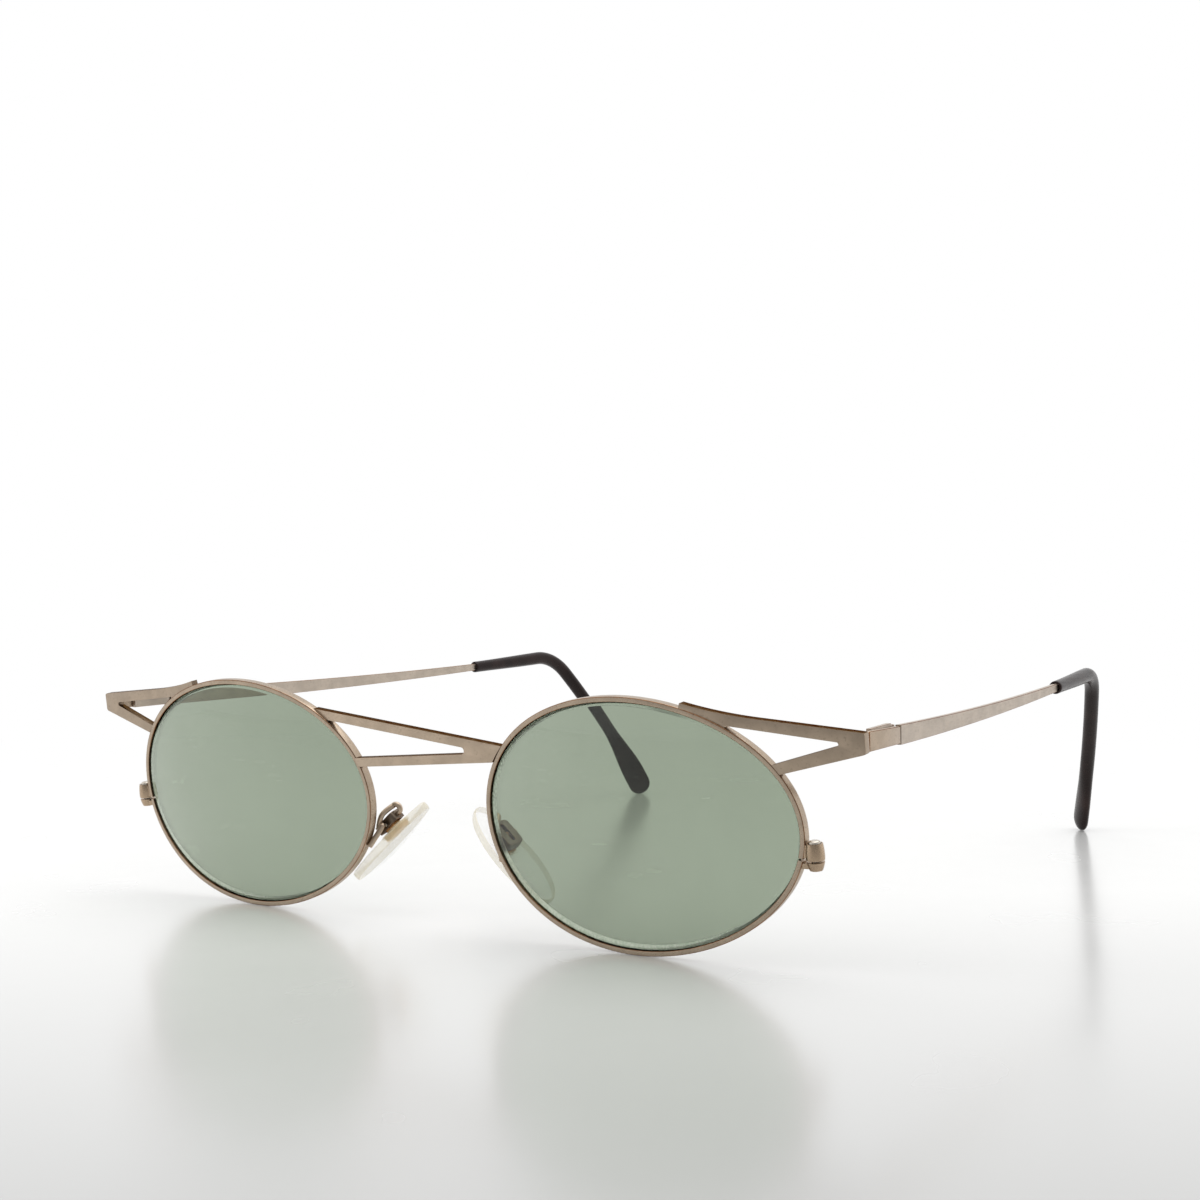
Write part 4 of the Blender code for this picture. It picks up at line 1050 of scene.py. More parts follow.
def pad_frame():
    """The pad screw's axis: X runs down the pad, Y is the axis and Z points at the nose."""
    down = Vector((math.sin(PAD_SPLAY), 0, -math.cos(PAD_SPLAY)))
    square = Vector((-math.cos(PAD_SPLAY), 0, -math.sin(PAD_SPLAY)))
    inward = square * math.cos(PAD_TURN) + Vector((0, 1, 0)) * math.sin(PAD_TURN)
    across = inward.cross(down)
    turn = Matrix((down, across, inward)).transposed().to_4x4()
    rim_side = rim_point(angle_at_height(-PAD_DROP, nasal=True))
    beside = eye_frame() @ Vector((rim_side.x, face_depth(rim_side), rim_side.y))
    centre = moved(beside.x - PAD_OFF_RIM, beside.y + PAD_BEHIND_RIM, eye_height() - PAD_DROP)
    return centre @ turn @ moved(-PAD_STEM_ABOVE_CENTRE, 0, -pad_middle())


def pad_middle():
    """The pad's middle plane over the pad screw's axis."""
    return pad_back() + PAD_EDGE / 2


def pad_back():
    """The pad's flat outer face over the pad screw's axis."""
    return AXIS_BELOW_BOX_EDGE + BOX_PAD_GAP + PAD_BOSS_HEIGHT


def lying():
    """Turns what stands upright to lie along Y, with its top at the low end."""
    return spun(math.pi / 2, "X")


# Rims and lenses


def section_sweep():
    """A tree that sweeps a rectangle with round corners along a line."""
    shape = Shape(
        "section sweep",
        Width="Float", Depth="Float", Corner="Float", Steps="Int", Material="Material")
    given = shape.given
    line = shape.node("GeometryNodeMeshToCurve", {"Mesh": given("Geometry")})
    level = shape.node("GeometryNodeSetCurveNormal", {"Curve": line}, mode="Z_UP")
    sides = {"Width": given("Width"), "Height": given("Depth")}
    square = shape.node("GeometryNodeCurvePrimitiveQuadrilateral", sides)
    corners = {"Curve": square, "Radius": given("Corner"), "Count": given("Steps")}
    section = shape.node("GeometryNodeFilletCurve", corners, mode="POLY")
    swept = {"Curve": level, "Profile Curve": section, "Fill Caps": True}
    return shape.close(shape.node("GeometryNodeCurveToMesh", swept))


def wire_sweep():
    """A tree that sweeps a circle along a line."""
    shape = Shape("wire sweep", Radius="Float", Sides="Int", Material="Material")
    line = shape.node("GeometryNodeMeshToCurve", {"Mesh": shape.given("Geometry")})
    circle = {"Resolution": shape.given("Sides"), "Radius": shape.given("Radius")}
    ring = shape.node("GeometryNodeCurvePrimitiveCircle", circle)
    swept = {"Curve": line, "Profile Curve": ring, "Fill Caps": True}
    return shape.close(shape.node("GeometryNodeCurveToMesh", swept))


def rim():
    """A ring that follows the lens's curve, open at the slit between the barrels."""
    slit = angle_at_height(-SLIT_DROP, nasal=False)
    half = RIM_SLIT / 2 / (rim_half_height() * math.cos(slit))
    wall, deep = sizes().rim_wall, sizes().rim_depth
    line = []
    for angle in between(slit + half, slit - half + 2 * math.pi, RIM_STEPS):
        point = rim_point(angle, -wall / 2)
        line.append(Vector((point.x, point.y, -face_depth(rim_point(angle)) - deep / 2)))
    seed = solid("rim", thread(line))
    section_sweep().grow(
        seed, Width=wall, Depth=deep, Corner=sizes().rim_corner, Steps=FINE_CORNER_STEPS,
        Material=finish_named("bronze_rim"))
    seed.data.transform(eye_frame() @ lying())
    return dressed(seed, eye_frame(), ("bronze_rim", "rubbed_edge", "bronze_inside"), rim_finish)


def rim_finish(direction, middle, index):
    """The rim's inner wall is painted darker as painted shade, and its corners are rubbed."""
    outward = Vector((middle.x, 0, middle.z)).normalized()
    if direction.dot(outward) < -FACING:
        return 2
    low, high = RIM_CORNERS
    return 1 if low < abs(direction.y) < high else 0


def lens():
    """A curved lens whose bevelled edge sits in the rim."""
    wall, deep = sizes().rim_wall, sizes().rim_depth
    front, back = LENS_SETBACK, LENS_SETBACK + sizes().lens_thickness
    shares = [i / LENS_RINGS for i in range(1, LENS_RINGS)] + [*LENS_EDGE_SHARES, 1.0]
    rings = [[Vector((0, front, 0))]]
    rings += [lens_ring(wall + BEVEL_FRONT, front, share) for share in shares]
    rings.append(lens_ridge(wall - GROOVE_DEPTH + LENS_FIT, deep / 2))
    rings.append(lens_ridge(wall + LENS_FIT, deep / 2 + GROOVE_WIDTH / 2 + LENS_FIT))
    rings.append(lens_ring(wall + LENS_FIT, back - BEVEL_DEPTH))
    rings += [lens_ring(wall + BEVEL_BACK, back, share) for share in reversed(shares)]
    rings.append([Vector((0, back, 0))])
    made = solid("lens", skin(rings), eye_frame())
    return dressed(made, eye_frame(), ("lens_glass", "lens_edge"), lens_finish)


def lens_ring(inset, behind, share=1.0):
    """A ring of the lens's face, at a share of the way from its middle to its edge."""
    points = [rim_point(angle, -inset) * share for angle in even_angles(RIM_STEPS)]
    return [Vector((p.x, face_depth(p) + behind, p.y)) for p in points]


def lens_ridge(inset, behind):
    """A ring of the lens's edge, which keeps its depth behind the rim's front."""
    ring = []
    for angle in even_angles(RIM_STEPS):
        point = rim_point(angle, -inset)
        ring.append(Vector((point.x, face_depth(rim_point(angle)) + behind, point.y)))
    return ring


def lens_finish(direction, middle, index):
    """The edge and the bevel behind it are ground, the faces are clear."""
    radius = math.hypot(middle.x / rim_half_width(), middle.z / rim_half_height())
    low, high = GROUND_SLOPES
    return 1 if radius > GROUND_FROM and low < direction.y < high else 0


class SUNGLASSES_OT_rims(bpy.types.Operator):
    """Sweep the two rims."""

    bl_idname = "sunglasses.rims"
    bl_label = "Rims"

    def execute(self, context):
        pair(rim(), "rim", "front")
        return {"FINISHED"}


class SUNGLASSES_OT_lenses(bpy.types.Operator):
    """Build the two lenses."""

    bl_idname = "sunglasses.lenses"
    bl_label = "Lenses"

    def execute(self, context):
        pair(lens(), "lens", "front")
        return {"FINISHED"}


# Bridge, endpieces and their blocks


def rim_clearance():
    """A cutter that clears the left rim's outer wall."""
    outline = [rim_point(angle, SOLDER_BITE) for angle in even_angles(RIM_STEPS)]
    half = rim_half_width()
    return solid("rim_clearance", prism(outline, flat, -half / 2, half), eye_frame())


def slotted_plate(name, outline, slot, depth, thick, *rims):
    """A plate behind a depth, with a slot sawn through it, cut to fit against rims."""
    body = solid(name, prism(outline, depth, 0, thick), front_frame())
    saw = solid("slot", prism(slot, depth, -thick, 2 * thick), front_frame())
    return cut(body, saw, *rims)


def bridge_depth(across):
    return BRIDGE_FRONT


def bridge():
    """A plate with a long wedge slot: two bars that run into one at the left rim."""
    rim_edge, bar, plate = sizes().rim_spacing / 2, sizes().bridge_bar, sizes().bridge_plate
    top_slope = (BRIDGE_TOP_AT_LEFT - BRIDGE_TOP_AT_RIGHT) / sizes().rim_spacing
    foot_slope = (BRIDGE_FOOT_AT_LEFT - BRIDGE_FOOT_AT_RIGHT) / sizes().rim_spacing
    inside = rim_edge + BRIDGE_ROOT
    outline = [
        Vector((-inside, BRIDGE_TOP_AT_RIGHT - top_slope * BRIDGE_ROOT)),
        Vector((inside, BRIDGE_TOP_AT_LEFT + top_slope * BRIDGE_ROOT)),
        Vector((inside, BRIDGE_FOOT_AT_LEFT + foot_slope * BRIDGE_ROOT)),
        Vector((-inside, BRIDGE_FOOT_AT_RIGHT - foot_slope * BRIDGE_ROOT)),
    ]
    upper = Vector((-rim_edge, BRIDGE_TOP_AT_RIGHT - bar))
    lower = Vector((-rim_edge, BRIDGE_FOOT_AT_RIGHT + bar))
    open_x = -inside - sizes().rim_wall
    slot = wedge(open_x, upper, top_slope, lower, foot_slope, BRIDGE_SLOT_RADIUS)
    left_rim = rim_clearance()
    right_rim = mirrored(left_rim, "rim_clearance_right")
    return slotted_plate("bridge", outline, slot, bridge_depth, plate, left_rim, right_rim)


def endpiece():
    """A plate with a wedge slot: the arm ends in a tongue along the rim, the leg stands on it."""
    end = endpiece_end()
    foot = ENDPIECE_TOP - ENDPIECE_HEIGHT
    top_slope, leg_slope = -math.tan(ENDPIECE_TOP_RISE), math.tan(LEG_RISE)
    eye = Vector((eye_x(), 0))
    tongue = eye + rim_point(TONGUE_ANGLE, TONGUE_WIDTH)
    tongue_foot = eye + rim_point(TONGUE_ANGLE, -sizes().rim_wall)
    along = rim_point(TONGUE_ANGLE + ANGLE_STEP) - rim_point(TONGUE_ANGLE - ANGLE_STEP)
    top_corner, foot_corner = Vector((end, ENDPIECE_TOP)), Vector((end, foot))
    control = meeting(tongue, along.y / along.x, top_corner, top_slope)
    blend_end = control + Vector((1, top_slope)).normalized() * (TONGUE_BLEND / 2)
    rim_inside = eye_x() + rim_half_width() - LEG_ROOT
    leg_end = Vector((rim_inside, foot + leg_slope * (rim_inside - end)))
    outline = quadratic(tongue, control, blend_end, TONGUE_STEPS)
    outline += rounded(top_corner, blend_end, foot_corner, ENDPIECE_CORNER)
    outline += rounded(foot_corner, top_corner, leg_end, ENDPIECE_CORNER)
    outline += [leg_end, tongue_foot]
    at_rim = end - ENDPIECE_REACH
    upper = Vector((at_rim, ENDPIECE_TOP - UPPER_ARM - top_slope * ENDPIECE_REACH))
    lower = Vector((at_rim, foot + LEG_WIDTH - leg_slope * ENDPIECE_REACH))
    upper_slope = top_slope - math.tan(UPPER_ARM_TAPER)
    lower_slope = leg_slope + math.tan(LEG_TAPER)
    slot = wedge(rim_inside, upper, upper_slope, lower, lower_slope, ENDPIECE_SLOT_RADIUS)
    thick = sizes().endpiece_plate
    return slotted_plate("endpiece", outline, slot, endpiece_depth, thick, rim_clearance())


def endpiece_block():
    """The block behind the endpiece's plate, which carries the front leaf of the hinge."""
    rings = []
    for along, height, thinner in (
        (0, BLOCK_HEIGHT, BLOCK_CORNER),
        (BLOCK_CORNER, BLOCK_HEIGHT, 0),
        (BLOCK_LENGTH - BLOCK_CORNER, BLOCK_END_HEIGHT, 0),
        (BLOCK_LENGTH, BLOCK_END_HEIGHT, BLOCK_CORNER / 2),
    ):
        rings.append(temple_ring(along, strip_section(height, thinner)))
    made = solid("endpiece_block", skin(rings), temple_frame())
    return dressed(made, temple_frame(), ("bronze_block", "rubbed_edge"), strip_finish)


def plate_finish(direction, middle, index):
    """A plate's faces are satin, its walls polished and painted dark as painted shade, and its round
    edges rubbed.
    """
    if index == 1:
        return 1
    return 0 if abs(direction.y) > PLATE_FACING else 2


def endpiece_finish(direction, middle, index):
    """An endpiece's outer end, which faces the light, is satin like its faces instead of painted dark
    as painted shade.
    """
    if index == 0 and direction.x > FACING:
        return 0
    return plate_finish(direction, middle, index)


def strip_finish(direction, middle, index):
    """A strip is satin all round, and its corners are rubbed."""
    low, high = STRIP_CORNERS
    return 1 if low < abs(direction.x) < high else 0


class SUNGLASSES_OT_bridge(bpy.types.Operator):
    """Cut the bridge from its plate."""

    bl_idname = "sunglasses.bridge"
    bl_label = "Bridge"

    def execute(self, context):
        made = bevelled(bridge(), sizes().edge_round, PLATE_EDGE_ANGLE)
        dressed(made, front_frame(), ("bronze_plate", "rubbed_edge", "polished_wall"), plate_finish)
        made.name = "bridge_fine"
        stand_in(made, "bridge", "front")
        return {"FINISHED"}


class SUNGLASSES_OT_endpieces(bpy.types.Operator):
    """Cut the endpieces from their plates and set the blocks behind them."""

    bl_idname = "sunglasses.endpieces"
    bl_label = "Endpieces"

    def execute(self, context):
        plate = bevelled(endpiece(), sizes().edge_round, PLATE_EDGE_ANGLE)
        finishes = ("bronze_endpiece", "rubbed_edge", "polished_wall")
        pair(dressed(plate, front_frame(), finishes, endpiece_finish), "endpiece", "front")
        pair(endpiece_block(), "endpiece_block", "front")
        return {"FINISHED"}


# Closing barrels and screws


def barrel_radius(height):
    """The closing block is one barrel, widest a little over the slit and narrowest at its foot."""
    top = RIM_SLIT / 2 + BARREL_UPPER
    foot = -RIM_SLIT / 2 - BARREL_LOWER
    belly = (top + foot) / 2
    end = BARREL_TOP_RADIUS if height > belly else BARREL_FOOT_RADIUS
    return BARREL_RADIUS - (BARREL_RADIUS - end) * ((height - belly) / (top - belly)) ** 2


def barrel(low, high, head_room):
    """A length of the closing block, with a web to the rim, bored for the screw."""
    sides = [(barrel_radius(height), height) for height in between(low, high, BARREL_RINGS)]
    body = solid("barrel", turned([(0, low), *sides, (0, high)]), barrel_frame())
    web_low = (-BARREL_OFFSET - sizes().rim_wall, -BARREL_WEB / 2, low + BARREL_WEB_INSET)
    web_high = (0, BARREL_WEB / 2, high - BARREL_WEB_INSET)
    join(body, solid("web", box(web_low, web_high), barrel_frame()))
    shank, head = RIM_SCREW_RADIUS + SCREW_FIT, RIM_SCREW_HEAD + SCREW_FIT
    if head_room:
        bore = stepped_rod(shank, low - BARREL_RADIUS, head, high - head_room, high + BARREL_RADIUS)
    else:
        bore = rod(shank, low - BARREL_RADIUS, high + BARREL_RADIUS)
    return cut(body, rim_clearance(), solid("bore", bore, barrel_frame()))


def rim_barrel_upper():
    return barrel(RIM_SLIT / 2, RIM_SLIT / 2 + BARREL_UPPER, BARREL_HEAD_ROOM)


def rim_barrel_lower():
    return barrel(-RIM_SLIT / 2 - BARREL_LOWER, -RIM_SLIT / 2, 0)


def screw_turning():
    """A tree that turns a profile into a screw and saws the slot in its head."""
    shape = Shape(
        "turned screw",
        Steps="Int", Slot_Width="Float", Slot_Depth="Float", Top="Float", Material="Material")
    given = shape.given
    profile = shape.node("GeometryNodeMeshToCurve", {"Mesh": given("Geometry")})
    circle = {"Resolution": given("Steps"), "Radius": SAME_POINT}
    path = shape.node("GeometryNodeCurvePrimitiveCircle", circle)
    level = shape.node("GeometryNodeSetCurveNormal", {"Curve": path}, mode="Z_UP")
    surface = shape.node("GeometryNodeCurveToMesh", {"Curve": level, "Profile Curve": profile})
    merging = {"Geometry": surface, "Distance": SAME_TURNED_POINT}
    closed = shape.node("GeometryNodeMergeByDistance", merging)
    sides = {0: SAW_LENGTH, 1: given("Slot_Width"), 2: 2 * given("Slot_Depth")}
    saw = shape.node("GeometryNodeMeshCube", {"Size": shape.node("ShaderNodeCombineXYZ", sides)})
    top = shape.node("ShaderNodeCombineXYZ", {2: given("Top")})
    saw = shape.node("GeometryNodeTransform", {"Geometry": saw, "Translation": top})
    sawn = {"Mesh 1": closed, "Mesh 2": saw}
    return shape.close(shape.node("GeometryNodeMeshBoolean", sawn, operation="DIFFERENCE"))


def screw(shank, head, head_height, seat, end, place):
    """A screw that points down, its head's underside at the height seat and its end at end."""
    chamfer = shank * SCREW_CHAMFER
    profile = [(0, end), (shank * (1 - SCREW_CHAMFER), end), (shank, end + chamfer), (shank, seat)]
    profile += [(head, seat), (head, seat + head_height * SCREW_WALL)]
    for turn in map(math.radians, range(SCREW_DOME_STEP, 90, SCREW_DOME_STEP)):
        across = head * (SCREW_FLAT + SCREW_ROUND * math.cos(turn))
        profile.append((across, seat + head_height * (SCREW_WALL + SCREW_DOME * math.sin(turn))))
    profile.append((0, seat + head_height))
    seed = solid("screw", thread([Vector((radius, -height, 0)) for radius, height in profile]))
    screw_turning().grow(
        seed, Steps=TURN_STEPS, Slot_Width=sizes().screw_slot,
        Slot_Depth=head_height * SCREW_SLOT_DEPTH, Top=seat + head_height,
        Material=finish_named("turned_steel"))
    seed.data.transform(place)
    return dressed(seed, place, ("turned_steel",))


def rim_screw():
    seat = RIM_SLIT / 2 + BARREL_UPPER - BARREL_HEAD_ROOM + SCREW_FIT
    end = -RIM_SLIT / 2 - BARREL_LOWER
    place = barrel_frame() @ spun(RIM_SCREW_TURN, "Z")
    return screw(RIM_SCREW_RADIUS, RIM_SCREW_HEAD, RIM_SCREW_HEAD_HEIGHT, seat, end, place)


def hinge_screw():
    half = HINGE_HEIGHT / 2
    seat = half - HINGE_SCREW_HEAD_HEIGHT + KNUCKLE_GAP / 2
    place = hinge_frame() @ spun(HINGE_SCREW_TURN, "Z")
    return screw(HINGE_SCREW_RADIUS, HINGE_SCREW_HEAD, HINGE_SCREW_HEAD_HEIGHT, seat, -half, place)


def pad_screw():
    half = BOX_WIDTH / 2
    seat = half + SCREW_FIT
    place = pad_frame() @ lying()
    return screw(PAD_SCREW_RADIUS, PAD_SCREW_HEAD, PAD_SCREW_HEAD_HEIGHT, seat, -half, place)


class SUNGLASSES_OT_barrels(bpy.types.Operator):
    """Turn the barrels that close the rims."""

    bl_idname = "sunglasses.barrels"
    bl_label = "Closing Barrels"

    def execute(self, context):
        barrels = {"rim_barrel_upper": rim_barrel_upper(), "rim_barrel_lower": rim_barrel_lower()}
        for node, made in barrels.items():
            bevelled(made, sizes().edge_round / 2)
            dressed(made, barrel_frame(), ("bronze_barrel", "rubbed_edge"))
            pair(made, node, "front")
        return {"FINISHED"}


class SUNGLASSES_OT_screws(bpy.types.Operator):
    """Turn the six screws and saw their slots."""

    bl_idname = "sunglasses.screws"
    bl_label = "Screws"

    def execute(self, context):
        for make in (rim_screw, hinge_screw, pad_screw):
            pair(make(), make.__name__, "front")
        return {"FINISHED"}


# Hinges


def leaf_place():
    """Where the leaves lie: their inner and outer faces, and how far from the axis they start."""
    outer = KNUCKLE_RADIUS + HINGE_CLEARANCE - SOLDER_GAP
    return outer - LEAF_THICKNESS, outer, KNUCKLE_RADIUS + 2 * HINGE_CLEARANCE


def knuckle_band(index):
    """The low and high of one of the hinge's three knuckles, counted from below."""
    low = -HINGE_HEIGHT / 2 + index * (KNUCKLE_HEIGHT + KNUCKLE_GAP)
    return low, low + KNUCKLE_HEIGHT


def hinge_finger(index, back):
    """A knuckle with a finger that reaches into its leaf, behind the axis or in front of it."""
    low, high = knuckle_band(index)
    inner, outer, start = leaf_place()
    outline = arc(Vector((0, 0)), KNUCKLE_RADIUS, math.pi, 2 * math.pi, TURN_STEPS // 2)
    end = start + LEAF_THICKNESS
    outline += [Vector((outer - LEAF_EDGE, end)), Vector((inner + LEAF_EDGE, end))]
    if not back:
        outline = [Vector((p.x, -p.y)) for p in outline]
    return solid("finger", slab(outline, low, high), hinge_frame())


def hinge_front():
    """The leaf on the block's inner face, with the outer two knuckles and the screw head's seat."""
    inner, outer, start = leaf_place()
    low = (inner, -start - FRONT_LEAF_LENGTH, -FRONT_LEAF_BELOW)
    body = solid("hinge_front", box(low, (outer, -start, FRONT_LEAF_ABOVE)), hinge_frame())
    join(body, hinge_finger(0, back=False), hinge_finger(2, back=False))
    shank, head = HINGE_SCREW_RADIUS + SCREW_FIT, HINGE_SCREW_HEAD + SCREW_FIT / 2
    seat = HINGE_HEIGHT / 2 - HINGE_SCREW_HEAD_HEIGHT
    bore = stepped_rod(shank, -HINGE_HEIGHT, head, seat, HINGE_HEIGHT)
    return cut(body, solid("bore", bore, hinge_frame()))


def hinge_temple():
    """The leaf on the strip's inner face, with the middle knuckle."""
    inner, outer, start = leaf_place()
    half, end = TEMPLE_LEAF_HEIGHT / 2, start + TEMPLE_LEAF_LENGTH
    leaf = box((inner, start, -half), (outer, end, half))
    body = join(solid("hinge_temple", leaf, hinge_frame()), hinge_finger(1, back=True))
    bore = rod(HINGE_SCREW_RADIUS + SCREW_FIT, -HINGE_HEIGHT, HINGE_HEIGHT)
    return cut(body, solid("bore", bore, hinge_frame()))


class SUNGLASSES_OT_hinges(bpy.types.Operator):
    """Cut the leaves and knuckles of the hinges."""

    bl_idname = "sunglasses.hinges"
    bl_label = "Hinges"

    def execute(self, context):
        leaves = {"front": hinge_front(), "temple": hinge_temple()}
        for body, made in leaves.items():
            bevelled(made, sizes().edge_round / 2)
            # Painted highlight: the hinges wear the temples' paler plating so that their tops read as
            # lit.
            dressed(made, hinge_frame(), ("bronze_temple", "rubbed_edge"))
            pair(made, "hinge_" + body, body)
        return {"FINISHED"}


# Temples


def temple_sag(along):
    """The centre line's height: the temple dips a little between the hinge and the bend."""
    half = BEND_START / 2
    return -TEMPLE_SAG * (1 - ((along - half) / half) ** 2)


def drop_turn():
    """The angle at which the centre line ends, so that the tip's round end stands on the floor."""
    start = (temple_frame() @ Vector((0, BEND_START, temple_sag(BEND_START)))).z
    bend_fall = BEND_RADIUS * (1 - math.cos(BEND_ANGLE))
    end_height = 0.0
    for _ in range(DROP_TRIES):
        fall = (start - end_height) / math.cos(DROP_LEAN) - bend_fall
        turn = math.acos(math.cos(BEND_ANGLE) - fall / DROP_RADIUS)
        height, out = temple_station(length_to(turn), PADDLE_TWIST - DROP_LEAN)[1:]
        nose = PADDLE_ROUND * height.cross(out).z
        reach = Vector((nose, PADDLE_WIDTH / 2 * height.z, PADDLE_THICKNESS / 2 * out.z)).length
        end_height = reach - abs(nose)
    return turn


def length_to(turn):
    """The centre line's length from the front to where the drop has turned this far."""
    return BEND_START + BEND_RADIUS * BEND_ANGLE + DROP_RADIUS * (turn - BEND_ANGLE)


def temple_station(along, twist=0.0):
    """A place on the centre line, with the directions of the height and the thickness there."""
    back = Vector((0, 1, 0))
    down = Vector((-math.sin(DROP_LEAN), 0, -math.cos(DROP_LEAN)))
    straight = min(along, BEND_START)
    point = Vector((0, straight, temple_sag(straight)))
    in_bend = min(max(along - BEND_START, 0) / BEND_RADIUS, BEND_ANGLE)
    bend_fall = BEND_RADIUS * (1 - math.cos(in_bend))
    point += back * (BEND_RADIUS * math.sin(in_bend)) + down * bend_fall
    in_drop = max(along - BEND_START - BEND_RADIUS * BEND_ANGLE, 0) / DROP_RADIUS
    angle = in_bend + in_drop
    point += back * (DROP_RADIUS * (math.sin(angle) - math.sin(in_bend)))
    point += down * (DROP_RADIUS * (math.cos(in_bend) - math.cos(angle)))
    heading = back * math.cos(angle) + down * math.sin(angle)
    height = back * math.sin(angle) - down * math.cos(angle)
    turn = Matrix.Rotation(-DROP_LEAN - twist, 3, heading)
    height = turn @ height
    return point, height, height.cross(heading)


def temple_ring(along, outline, twist=0.0):
    """A section of the temple: outline points as (thickness, height) about its centre line."""
    point, height, out = temple_station(along, twist)
    return [point + out * p.x + height * p.y for p in outline]


def tip_section(along):
    """The tip's (thickness, width, twist) at a place on the centre line."""
    end = length_to(drop_turn())
    swell = smooth_step((along - COLLAR_AT) / (BEND_START - COLLAR_AT))
    paddle = smooth_step((along - end + PADDLE_LENGTH) / (PADDLE_LENGTH - 2 * PADDLE_ROUND))
    round_width = COLLAR_WIDTH + (TIP_WIDTH - COLLAR_WIDTH) * swell
    into_end = max(along - end + PADDLE_ROUND, 0) / PADDLE_ROUND
    closing = math.sqrt(max(1 - into_end**2, 0))
    width = round_width + (PADDLE_WIDTH - round_width) * paddle
    thickness = round_width + (PADDLE_THICKNESS - round_width) * paddle
    after_bend = smooth_step((along - BEND_START) / (end - BEND_START - PADDLE_ROUND))
    return thickness * closing, width * closing, (PADDLE_TWIST - DROP_LEAN) * after_bend


def oval(thickness, width):
    half = thickness / 2, width / 2
    return [Vector((half[0] * math.cos(a), half[1] * math.sin(a))) for a in even_angles(TIP_SIDES)]


def strip_section(height, thinner=0):
    """The section of a strip: a rectangle with round corners, made thinner and lower by as much."""
    thick = sizes().temple_thickness
    return rounded_rectangle(thick - thinner, height - thinner, STRIP_CORNER, FINE_CORNER_STEPS)


def temple_strip():
    """The tapering strip, with the core wire that runs on inside the tip."""
    places = between(BLOCK_LENGTH + BUTT_GAP, COLLAR_AT, STRIP_RINGS)
    heights = between(STRIP_HEIGHT, STRIP_END_HEIGHT, STRIP_RINGS)
    rings = [temple_ring(along, strip_section(height)) for along, height in zip(places, heights)]
    first = math.pi / CORE_SIDES
    wire = arc(Vector((0, 0)), CORE_RADIUS, first, 2 * math.pi + first, CORE_SIDES)[:-1]
    blend, end = COLLAR_AT + CORE_BLEND, length_to(drop_turn()) - CORE_SHORT_OF_END
    rings += [temple_ring(along, wire) for along in between(blend, end, STRIP_RINGS)]
    made = solid("temple_strip", skin(rings), temple_frame())
    return dressed(made, temple_frame(), ("bronze_temple", "rubbed_edge"), strip_finish)


def temple_tip():
    """The sleeve: bent down behind the ear, with a soft-edged collar and a rounded paddle."""
    end = length_to(drop_turn())
    bore = [p * (2 * (CORE_RADIUS + CORE_FIT)) for p in oval(1, 1)]
    bore_end = end - CORE_SHORT_OF_END + 2 * CORE_FIT
    rings = [temple_ring(along, bore) for along in between(bore_end, COLLAR_AT, BORE_RINGS)]
    for turn in map(math.radians, range(0, 90, COLLAR_STEP)):
        width = COLLAR_WIDTH - 2 * COLLAR_CHAMFER * (1 - math.sin(turn))
        along = COLLAR_AT + COLLAR_CHAMFER * (1 - math.cos(turn))
        rings.append(temple_ring(along, oval(width, width)))
    places = between(COLLAR_AT + COLLAR_CHAMFER, end - PADDLE_ROUND, SLEEVE_RINGS)
    turns = map(math.radians, range(SLEEVE_END_STEP, 90, SLEEVE_END_STEP))
    places += [end - PADDLE_ROUND * (1 - math.sin(turn)) for turn in turns]
    for along in places:
        thickness, width, twist = tip_section(along)
        rings.append(temple_ring(along, oval(thickness, width), twist))
    rings.append([temple_station(end)[0]])
    made = solid("temple_tip", skin(rings), temple_frame())
    return dressed(made, temple_frame(), ("tip_acetate",))


class SUNGLASSES_OT_temples(bpy.types.Operator):
    """Shape the temple strips and their tips."""

    bl_idname = "sunglasses.temples"
    bl_label = "Temples"

    def execute(self, context):
        pair(temple_strip(), "temple_strip", "temple")
        pair(temple_tip(), "temple_tip", "temple")
        return {"FINISHED"}


# Nose pads and what carries them


def pad_arm():
    """A wire from the rim's nose side, past the pad box and curled over into the box's top end."""
    radius, deep = sizes().arm_radius, sizes().rim_depth
    foot = rim_point(angle_at_height(-ARM_FOOT_DROP, nasal=True), radius + SOLDER_BITE)
    side = rim_point(angle_at_height(-ARM_SIDE_DROP, nasal=True), radius + SOLDER_GAP)
    eye, pad = eye_frame(), pad_frame()
    box_middle, box_end = AXIS_BELOW_BOX_EDGE - BOX_DEPTH / 2, -BOX_LENGTH / 2
    curl = (BOX_DEPTH / 2 + ARM_BOX_GAP + radius) / 2
    start = box_end - SOLDER_GAP - ARM_LEAD
    beside = BOX_WIDTH / 2 + ARM_BOX_GAP
    path = smooth_path([
        eye @ Vector((foot.x, face_depth(foot) + deep / 2, foot.y)),
        eye @ Vector((side.x, face_depth(side) + deep / 2 + ARM_SIDE_BACK, side.y)),
        pad @ Vector((ARM_PASS_DOWN, beside + radius, -ARM_PASS_OUT)),
        pad @ Vector((-ARM_CORNER_UP, beside, box_middle - 2 * curl)),
        pad @ Vector((start, 0, box_middle - 2 * curl)),
    ])
    middle = Vector((start, box_middle - curl))
    for point in arc(middle, curl, 1.5 * math.pi, math.pi / 2, CURL_STEPS)[1:]:
        path.append(pad @ Vector((point.x, 0, point.y)))
    path.append(pad @ Vector((box_end, 0, box_middle)))
    seed = solid("pad_arm", thread(path))
    wire_sweep().grow(seed, Radius=radius, Sides=ARM_SIDES, Material=finish_named("bronze_plate"))
    return dressed(seed, Matrix.Identity(4), ("bronze_plate",))


def pad_screw_hole():
    hole = rod(PAD_SCREW_RADIUS + SCREW_FIT, -BOX_WIDTH, BOX_WIDTH)
    return solid("hole", hole, pad_frame() @ lying())


